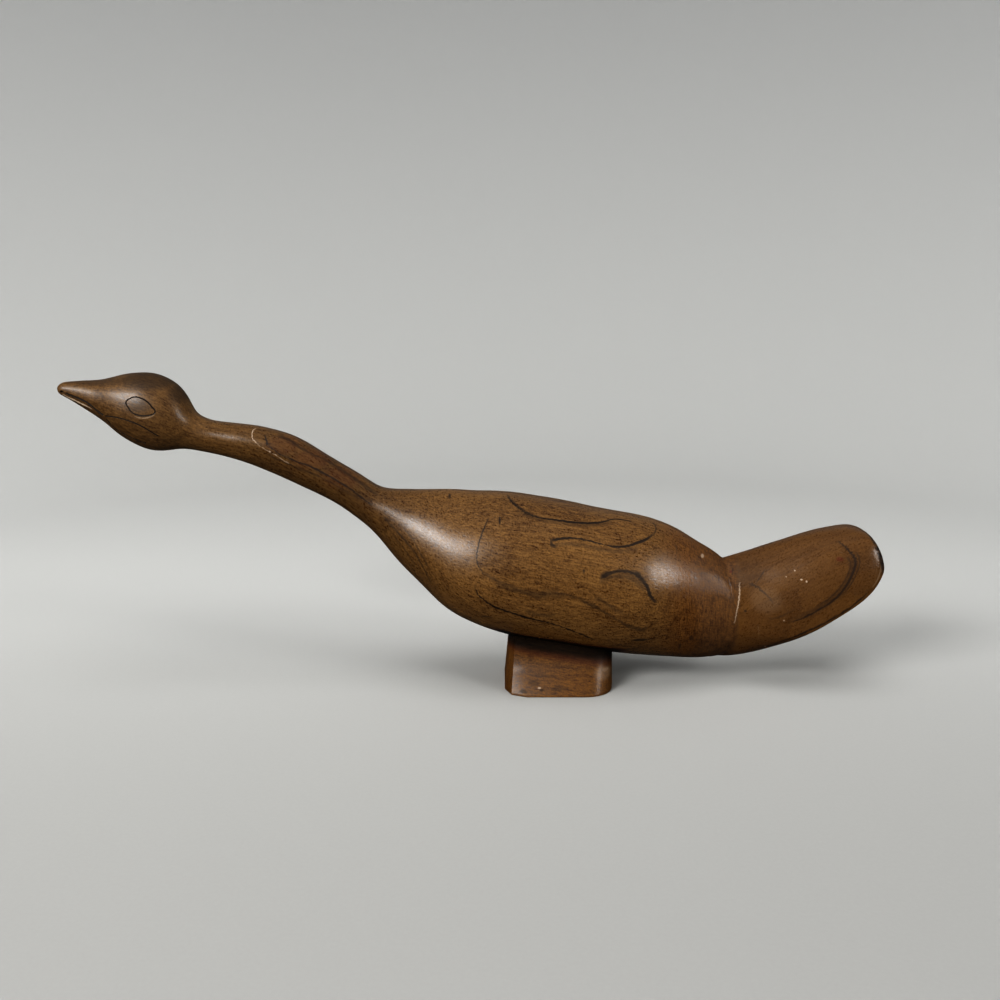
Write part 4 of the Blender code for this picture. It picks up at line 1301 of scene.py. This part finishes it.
@dataclass(frozen=True)
class WoodFinish:
    """Oiled brown hardwood with dark figure, rubbed to a satin gloss.

    A tone share says how much a part of the grain lightens the wood, a rough share how much a
    part dulls it, and a high share how much it rises. Spans are in mm along x, and places scale
    the wood's colour by the way along the goose in mm: partly its own tone, partly painted shade,
    as on the darker rump by the crease.
    """

    name: str
    light: Colour = (0.192, 0.102, 0.031, 1.0)
    dark: Colour = (0.034, 0.0120, 0.0022, 1.0)
    # ink also paints shade and pale also paints highlights, through the figure's masks
    ink: Colour = (0.0075, 0.0040, 0.0025, 1.0)
    pale: Colour = (0.44, 0.34, 0.25, 1.0)
    rust: Colour = (0.085, 0.016, 0.006, 1.0)
    warm: Colour = (1.0, 0.84, 0.62, 1.0)
    block: Colour = (1.06, 0.86, 0.36, 1.0)
    ring_width: float = 2.7
    wander: float = 15.0
    pore_share: float = 0.19
    tone: float = 0.56
    cloud_tone: float = 0.7
    streak_tone: float = 0.95
    dash_tone: float = 1.35
    speck_tone: float = 1.2
    ring_tone: float = -0.10
    pore_tone: float = -0.18
    lobe_fine: float = 0.75
    lobe_speck: float = -0.4
    lobe_warm: float = 0.6
    belly_turn: tuple[float, float] = (-1.35, -0.15)
    belly_shade: float = 0.75
    foot_shade: float = 0.12
    shadow_fringe_red: float = 2.0
    nick_share: float = 0.55
    rim_share: float = 0.4
    cut_share: float = 0.9
    roughness: float = 0.32
    streak_rough: float = 0.22
    speck_rough: float = 0.35
    pore_rough: float = 0.12
    block_rough: float = 0.19
    crease_rough: float = 0.3
    head_rough: float = 0.09
    darkening_rough: float = 0.4
    ink_rough: float = 0.2
    crease_span: tuple[float, float, float, float] = (46.0, 54.0, 66.0, 63.8)
    head_span: tuple[float, float] = (-124.0, -133.0)
    specular: float = 0.36
    coat: float = 0.12
    coat_roughness: float = 0.20
    pore_high: float = -0.5
    speck_high: float = 0.9
    dash_high: float = 0.9
    relief_strength: float = 0.5
    relief_depth: float = 0.09 * MM
    places: tuple[tuple[float, float], ...] = (
        (-179.0, 0.78), (-150.0, 0.78), (-128.0, 0.76), (-100.0, 0.71), (-78.0, 0.70),
        (-66.0, 0.76), (-50.0, 0.90), (-20.0, 1.02), (20.0, 1.06), (42.0, 0.92), (56.0, 0.78),
        (63.4, 0.74), (65.6, 0.78), (95.0, 0.78), (119.0, 0.76),
    )

    def build(self, figure: Figure) -> bpy.types.Material:
        """Make the wood's material.

        Args:
            figure: draws the figure's masks.

        Returns:
            The material.
        """
        material = bpy.data.materials.new(self.name)
        material.use_nodes = True
        graph = Graph(material.node_tree)
        shader = material.node_tree.nodes["Principled BSDF"]
        position = graph.node("TexCoord").outputs["Object"]
        place = graph.group(figure.groups.place, {"Position": position})
        grain = graph.group(figure.groups.grain, {
            "Fibre": place["Fibre"], "Ring Width": self.ring_width, "Wander": self.wander,
            "Pore Share": self.pore_share, "Rump": place["Rump"]})
        masks = figure.masks(graph, place)
        colour = self.colour(graph, place, grain)
        # The INK masks hold painted shade too, and the PALE masks painted highlights.
        for tone, paint in ((Tone.RUST, self.rust), (Tone.INK, self.ink), (Tone.PALE, self.pale)):
            colour = graph.mix(masks[tone], colour, paint)
        darkening = self.darkening(graph, place)
        colour = graph.mix(darkening, colour, self.ink)
        rough = self.rough(graph, place, grain, darkening, masks[Tone.INK])
        for socket, name in ((colour, "Base Color"), (rough, "Roughness"),
                             (self.relief(graph, grain), "Normal")):
            graph.tree.links.new(socket, shader.inputs[name])
        shader.inputs["Specular IOR Level"].default_value = self.specular
        shader.inputs["Coat Weight"].default_value = self.coat
        shader.inputs["Coat Roughness"].default_value = self.coat_roughness
        return material

    def colour(self, graph: Graph, place: dict, grain: dict) -> Socket:
        """Mix the wood's colour from its rings, streaks, pores and clouds, paint shade on it along
        the goose, towards the belly and as a shadow on the foot's top, and tint the rump, tail and
        foot.

        Args:
            graph: the material's nodes.
            place: the outputs of the place group.
            grain: the outputs of the grain group.

        Returns:
            The colour.
        """
        fine = graph.math("SUBTRACT", 1.0, graph.product(place["Lobe"], self.lobe_fine))
        speck = graph.math("MULTIPLY_ADD", place["Lobe"], self.lobe_speck, self.speck_tone)
        tone = graph.sway(self.tone, grain["Cloud"], self.cloud_tone)
        tone = graph.sway(tone, grain["Streak"], graph.product(fine, self.streak_tone))
        tone = graph.sway(tone, grain["Dash"], graph.product(fine, self.dash_tone))
        tone = graph.sway(tone, grain["Speck"], speck)
        tone = graph.math("MULTIPLY_ADD", grain["Ring"], self.ring_tone, tone)
        tone = graph.math("MULTIPLY_ADD", graph.product(grain["Pore"], fine), self.pore_tone,
                          tone, clamp=True)
        colour = graph.mix(tone, self.dark, self.light)
        # Painted shadow on the foot's top under the belly, with a reddish fringe along its edge.
        shadow = place["Shadow"]
        shadow_fringe = graph.product(shadow, graph.math("SUBTRACT", 1.0, shadow), self.shadow_fringe_red)
        colour = graph.mix(shadow_fringe, colour, self.rust)
        # Painted shade: the places along the goose, darker towards the belly, and the painted
        # shadow on the foot's top.
        shade = graph.product(graph.curve(place["Along"], *np.array(self.places).T),
                              graph.remap(place["Turn"], *self.belly_turn, self.belly_shade, 1.0),
                              graph.remap(shadow, 0.0, 1.0, 1.0, self.foot_shade))
        shades = graph.node("CombineColor", {0: shade, 1: shade, 2: shade}).outputs[0]
        colour = graph.mix(1.0, colour, shades, "MULTIPLY")
        rear = graph.math("MULTIPLY_ADD", place["Lobe"], self.lobe_warm, place["Rump"])
        return graph.tint(place["Block"], graph.tint(rear, colour, self.warm), self.block)

    def darkening(self, graph: Graph, place: dict) -> Socket:
        """Find where the wood is darkened: grime in the face's grooves, and the tail's rim in
        patches.
        """
        rim, cut = (graph.node("Attribute", None, attribute_name=name).outputs["Fac"]
                    for name in ("rim", "cut"))
        nick = graph.remap(graph.noise(place["Fibre"], 0.7, 2.0, 0.6), 0.40, 0.52)
        patches = graph.math("MULTIPLY_ADD", nick, self.nick_share, self.rim_share)
        return graph.math("MAXIMUM", graph.product(rim, patches),
                          graph.product(cut, self.cut_share))

    def rough(self, graph: Graph, place: dict, grain: dict, darkening: Socket, ink: Socket) -> Socket:
        """Find the roughness.

        Args:
            graph: the material's nodes.
            place: the outputs of the place group.
            grain: the outputs of the grain group.
            darkening: 1 where the grooves hold grime and the tail's rim is darkened.
            ink: the dark figure's mask, which also holds painted shade.

        Returns:
            The roughness.
        """
        middle = place["Middle"]
        start, full, end, fading = self.crease_span
        crease = graph.product(graph.remap(middle, start, full), graph.remap(middle, end, fading))
        rough = graph.sway(self.roughness, grain["Streak"], self.streak_rough)
        rough = graph.sway(rough, grain["Speck"], self.speck_rough)
        for mask, share in ((grain["Pore"], self.pore_rough), (place["Block"], self.block_rough),
                            (crease, self.crease_rough),
                            (graph.remap(middle, *self.head_span), self.head_rough),
                            (darkening, self.darkening_rough)):
            rough = graph.math("MULTIPLY_ADD", mask, share, rough)
        return graph.math("MULTIPLY_ADD", ink, self.ink_rough, rough, clamp=True)

    def relief(self, graph: Graph, grain: dict) -> Socket:
        """Raise the fine relief of pores, fibres and polishing marks, as a normal."""
        height = graph.product(grain["Speck"], self.speck_high)
        for part, share in (("Pore", self.pore_high), ("Dash", self.dash_high)):
            height = graph.math("MULTIPLY_ADD", grain[part], share, height)
        return graph.node("Bump", {"Strength": self.relief_strength, "Height": height,
                                   "Distance": self.relief_depth}).outputs[0]


@dataclass(frozen=True)
class Goose:
    """The whole carving: body, neck, head, tail and foot in one piece."""

    view: ViewPoint
    body: Body = Body()
    skin: Skin = Skin()
    face: FaceLines = FaceLines()
    long_fineness: Fineness = Fineness(1.05 * MM, 0.55 * MM, (HEAD_SPAN, CREASE_SPAN))
    tail_fineness: Fineness = Fineness(0.8 * MM, 0.5 * MM, (CREASE_SPAN,))
    chart_steps: int = 8
    tail_start: float = 66.0 * MM
    wave_depth: float = 0.35 * MM
    wave_length: float = 16.0 * MM
    crease_reach: float = 1.6 * MM
    crease_angle: float = 14.0
    crease_search: tuple[float, float] = (55.0 * MM, 80.0 * MM)
    stray: float = 0.12 * MM
    sole_clear: float = 2.0 * MM
    sharp_angle: float = 38.0
    face_end: float = -120.0 * MM
    touch: float = 0.01 * MM
    rim_reach: float = 2.2 * MM
    rim_fade: float = 0.8 * MM
    rim_rise: float = 3.0 * MM
    rim_span: float = 20.0 * MM

    def long_rows(self) -> list[list[float]]:
        """Give all sections from the tip of the beak to the end of the rump."""
        neck = Neck(self.body)
        return Head(neck).rows() + neck.rows()[::-1] + self.body.rows()

    def chart(self) -> Chart:
        """Chart the goose along its middle line."""
        long_form, tail = (fair(rows, self.chart_steps)
                           for rows in (self.long_rows(), Tail(self.body).rows()))
        return Chart(np.concatenate([
            long_form[(long_form[:, 0] + long_form[:, 2]) / 2 < self.tail_start],
            tail[(tail[:, 0] + tail[:, 2]) / 2 > self.tail_start]]))

    def carve(self) -> bpy.types.Object:
        """Model the carving.

        Returns:
            The finished piece.
        """
        goose = self.skin.build("goose_carving", self.long_rows(), self.long_fineness)
        log.info("skinned the head, neck and body")
        tail = self.skin.build("tail_lobe", Tail(self.body).rows(), self.tail_fineness)
        log.info("skinned the tail")
        for name, other in (("tail", tail), ("foot", Foot().build())):
            apply_modifier(goose, name, "BOOLEAN", operation="UNION", object=other, solver="EXACT")
            bpy.data.objects.remove(other)
            log.info("joined the %s", name)
        self.soften_crease(goose)
        self.wave(goose)
        walls = []
        for cutter in self.face.build(self.view, self.faces(goose)):
            walls.append(self.faces(cutter))
            apply_modifier(goose, cutter.name, "BOOLEAN", operation="DIFFERENCE", object=cutter,
                           solver="EXACT")
            log.info("cut %s", cutter.name)
            bpy.data.objects.remove(cutter)
        only(goose)
        bpy.ops.object.shade_smooth_by_angle(angle=math.radians(self.sharp_angle))
        self.mark_cuts(goose, walls)
        self.mark_rim(goose)
        return goose

    def faces(self, goose: bpy.types.Object) -> BVHTree:
        """Give the faces of the carving, to find where pixels fall on it."""
        return BVHTree.FromObject(goose, bpy.context.evaluated_depsgraph_get())

    def soften_crease(self, goose: bpy.types.Object) -> None:
        """Rub the crease between the rump and the tail round."""
        shape = bmesh.new()
        shape.from_mesh(goose.data)
        bmesh.ops.remove_doubles(shape, verts=shape.verts, dist=self.stray)
        low, high = self.crease_search
        sharp = [edge for edge in shape.edges
                 if low < edge.verts[0].co.x < high and edge.verts[0].co.z > 2 * self.sole_clear
                 and len(edge.link_faces) == 2
                 and edge.calc_face_angle(0.0) > math.radians(self.crease_angle)]
        spots = np.array([vert.co.copy() for edge in sharp for vert in edge.verts])
        shape.to_mesh(goose.data)
        shape.free()
        places = corners(goose)
        margin = 5.0 * MM
        near = np.flatnonzero((places[:, 0] > low - margin) & (places[:, 0] < high + margin))
        away = [np.linalg.norm(spots - places[i], axis=1).min() for i in near]
        group = goose.vertex_groups.new(name="crease")
        for i, far in zip(near, away):
            weight = max(0.0, 1 - float(far) / self.crease_reach)
            if weight > 0:
                group.add([int(i)], weight, "REPLACE")
        apply_modifier(goose, "crease_rub", "SMOOTH", factor=0.6, iterations=14,
                       vertex_group="crease")

    def wave(self, goose: bpy.types.Object) -> None:
        """Give the skin the slight unevenness of a form that was rubbed down by hand."""
        texture = bpy.data.textures.new("hand_rubbed", "CLOUDS")
        texture.noise_scale = self.wave_length
        texture.noise_depth = 1
        group = goose.vertex_groups.new(name="rubbed")
        places = corners(goose)
        for i in np.flatnonzero(places[:, 2] > self.sole_clear):
            group.add([int(i)], 1.0, "REPLACE")
        apply_modifier(goose, "unevenness", "DISPLACE", texture=texture, texture_coords="LOCAL",
                       strength=self.wave_depth, mid_level=0.5, vertex_group="rubbed")

    def mark_cuts(self, goose: bpy.types.Object, walls: list[BVHTree]) -> None:
        """Mark the walls of the face's grooves, which hold grime, as a value from 0 to 1.

        Args:
            goose: the cut piece.
            walls: the faces of each cutter.
        """
        cut = np.zeros(len(goose.data.polygons), np.float32)
        for face in goose.data.polygons:
            if face.center.x < self.face_end:
                cut[face.index] = any(
                    tree.find_nearest(face.center, self.touch)[0] is not None for tree in walls)
        attribute = goose.data.attributes.new("cut", "FLOAT", "FACE")
        attribute.data.foreach_set("value", cut)
        log.info("marked %d groove faces", int(cut.sum()))

    def mark_rim(self, goose: bpy.types.Object) -> None:
        """Mark the crisp edge of the tail's end, which the finish darkens in patches, as a value
        from 0 to 1.
        """
        tail = Tail(self.body)
        x, z = tail.form().point(1.0, 0.0)
        slope = math.radians(tail.pitch)
        places = corners(goose)
        short = (x - places[:, 0]) * math.cos(slope) + (z - places[:, 2]) * math.sin(slope)
        high = (places[:, 2] - z) * math.cos(slope) - (places[:, 0] - x) * math.sin(slope)
        rim = np.clip((self.rim_reach - short) / self.rim_fade, 0.0, 1.0)
        rim *= np.clip(high / self.rim_rise + 0.5, 0.0, 1.0) * (places[:, 0] > x - self.rim_span)
        attribute = goose.data.attributes.new("rim", "FLOAT", "POINT")
        attribute.data.foreach_set("value", rim.astype(np.float32))

    def dress(self, goose: bpy.types.Object) -> None:
        """Give the carving its wood and its place in the frame.

        Args:
            goose: the finished piece.
        """
        chart = self.chart()
        figure = Figure(chart, WoodGroups(chart), self.view, self.faces(goose))
        material = WoodFinish("figured_wood").build(figure)
        goose.data.materials.clear()
        goose.data.materials.append(material)
        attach(goose, "root")
        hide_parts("goose")


@dataclass(frozen=True)
class Lamp:
    """A soft oval light, by its bearing from the view, height angle and distance."""

    name: str
    bearing: float
    rise: float
    distance: float
    size: tuple[float, float]
    power: float
    glossy: bool = True


@dataclass(frozen=True)
class Studio:
    """A pale floor that sweeps up all round, soft lights and a soft sky."""

    aim: tuple[float, float, float] = (0.0, 0.0, 0.05)
    flat: float = 0.45
    sweep: float = 1.35
    near_colour: Colour = (0.36, 0.357, 0.344, 1.0)
    floor_colour: Colour = (0.57, 0.57, 0.552, 1.0)
    far_colour: Colour = (0.54, 0.54, 0.53, 1.0)
    near: float = -0.20
    grid: int = 160
    steepness: float = 0.85
    mottle: Colour = (0.96, 0.96, 0.96, 1.0)
    mottle_scale: float = 900.0
    roughness: float = 0.9
    specular: float = 0.2
    sky: Colour = (0.95, 0.97, 1.0, 1.0)
    sky_span: tuple[float, float] = (-0.1, 0.7)
    sky_low: float = 0.03
    sky_high: float = 0.30
    lamps: tuple[Lamp, ...] = (
        Lamp("left_softbox", -41.0, 28.0, 1.25, (0.66, 0.30), 10.7),
        Lamp("right_softbox", 56.0, 18.0, 1.25, (0.40, 0.46), 7.2),
        Lamp("overhead", 0.0, 75.0, 1.3, (1.0, 1.0), 6.0, glossy=False),
    )

    def build(self) -> None:
        """Set up the floor, the lights and the sky."""
        self.floor()
        for lamp in self.lamps:
            self.light(lamp)
        world = bpy.data.worlds.new("soft_sky")
        world.use_nodes = True
        background = world.node_tree.nodes["Background"]
        background.inputs["Color"].default_value = self.sky
        graph = Graph(world.node_tree)
        direction = graph.node("TexCoord").outputs["Generated"]
        rise = graph.node("SeparateXYZ", {0: direction}).outputs[2]
        graph.tree.links.new(graph.remap(rise, *self.sky_span, self.sky_low, self.sky_high),
                             background.inputs["Strength"])
        bpy.context.scene.world = world
        bpy.context.scene.view_settings.view_transform = "Standard"
        bpy.context.scene.view_settings.look = "High Contrast"

    def floor(self) -> None:
        """Model the floor as a wide shallow bowl of pale paper, which the wood does not reflect."""
        bpy.ops.object.select_all(action="DESELECT")
        bpy.ops.mesh.primitive_grid_add(x_subdivisions=self.grid, y_subdivisions=self.grid,
                                        size=2 * (self.flat + self.sweep))
        floor = bpy.context.object
        floor.name = "pale_floor"
        places = corners(floor)
        over = np.clip(np.hypot(places[:, 0], places[:, 1]) - self.flat, 0.0, None)
        places[:, 2] = over ** 2 * self.steepness
        move_corners(floor, places)
        floor.data.shade_smooth()
        material = bpy.data.materials.new("pale_paper")
        material.use_nodes = True
        graph = Graph(material.node_tree)
        shader = material.node_tree.nodes["Principled BSDF"]
        position = graph.node("TexCoord").outputs["Object"]
        depth = graph.node("SeparateXYZ", {0: position}).outputs[1]
        pale = graph.mix(graph.remap(depth, self.near, -self.near), self.near_colour,
                         self.floor_colour)
        pale = graph.mix(graph.remap(graph.vector("LENGTH", position), self.flat,
                                     self.flat + self.sweep), pale, self.far_colour)
        low = graph.mix(1.0, pale, self.mottle, "MULTIPLY")
        mottle = graph.noise(position, self.mottle_scale, 2.0)
        graph.tree.links.new(graph.mix(mottle, low, pale), shader.inputs["Base Color"])
        shader.inputs["Roughness"].default_value = self.roughness
        shader.inputs["Specular IOR Level"].default_value = self.specular
        floor.data.materials.append(material)
        floor.visible_glossy = False

    def light(self, lamp: Lamp) -> None:
        """Hang one light, turned to the goose."""
        bearing, rise = math.radians(lamp.bearing), math.radians(lamp.rise)
        back = Vector((math.sin(bearing) * math.cos(rise), -math.cos(bearing) * math.cos(rise),
                       math.sin(rise)))
        turn = back.to_track_quat("Z", "Y").to_euler()
        bpy.ops.object.light_add(type="AREA", location=Vector(self.aim) + back * lamp.distance,
                                 rotation=turn)
        light = bpy.context.object
        light.name = lamp.name
        light.data.shape = "ELLIPSE"
        light.data.size, light.data.size_y = lamp.size
        light.data.energy = lamp.power
        light.visible_glossy = lamp.glossy


def main() -> None:
    """Carve, dress and light the goose."""
    logging.basicConfig(level=logging.INFO, format="%(name)s: %(message)s")
    view = ViewPoint()
    goose = Goose(view)
    piece = goose.carve()
    goose.dress(piece)
    log.info("%s has %d faces", piece.name, len(piece.data.polygons))
    Studio().build()
    view.build()


if __name__ == "__main__":
    main()
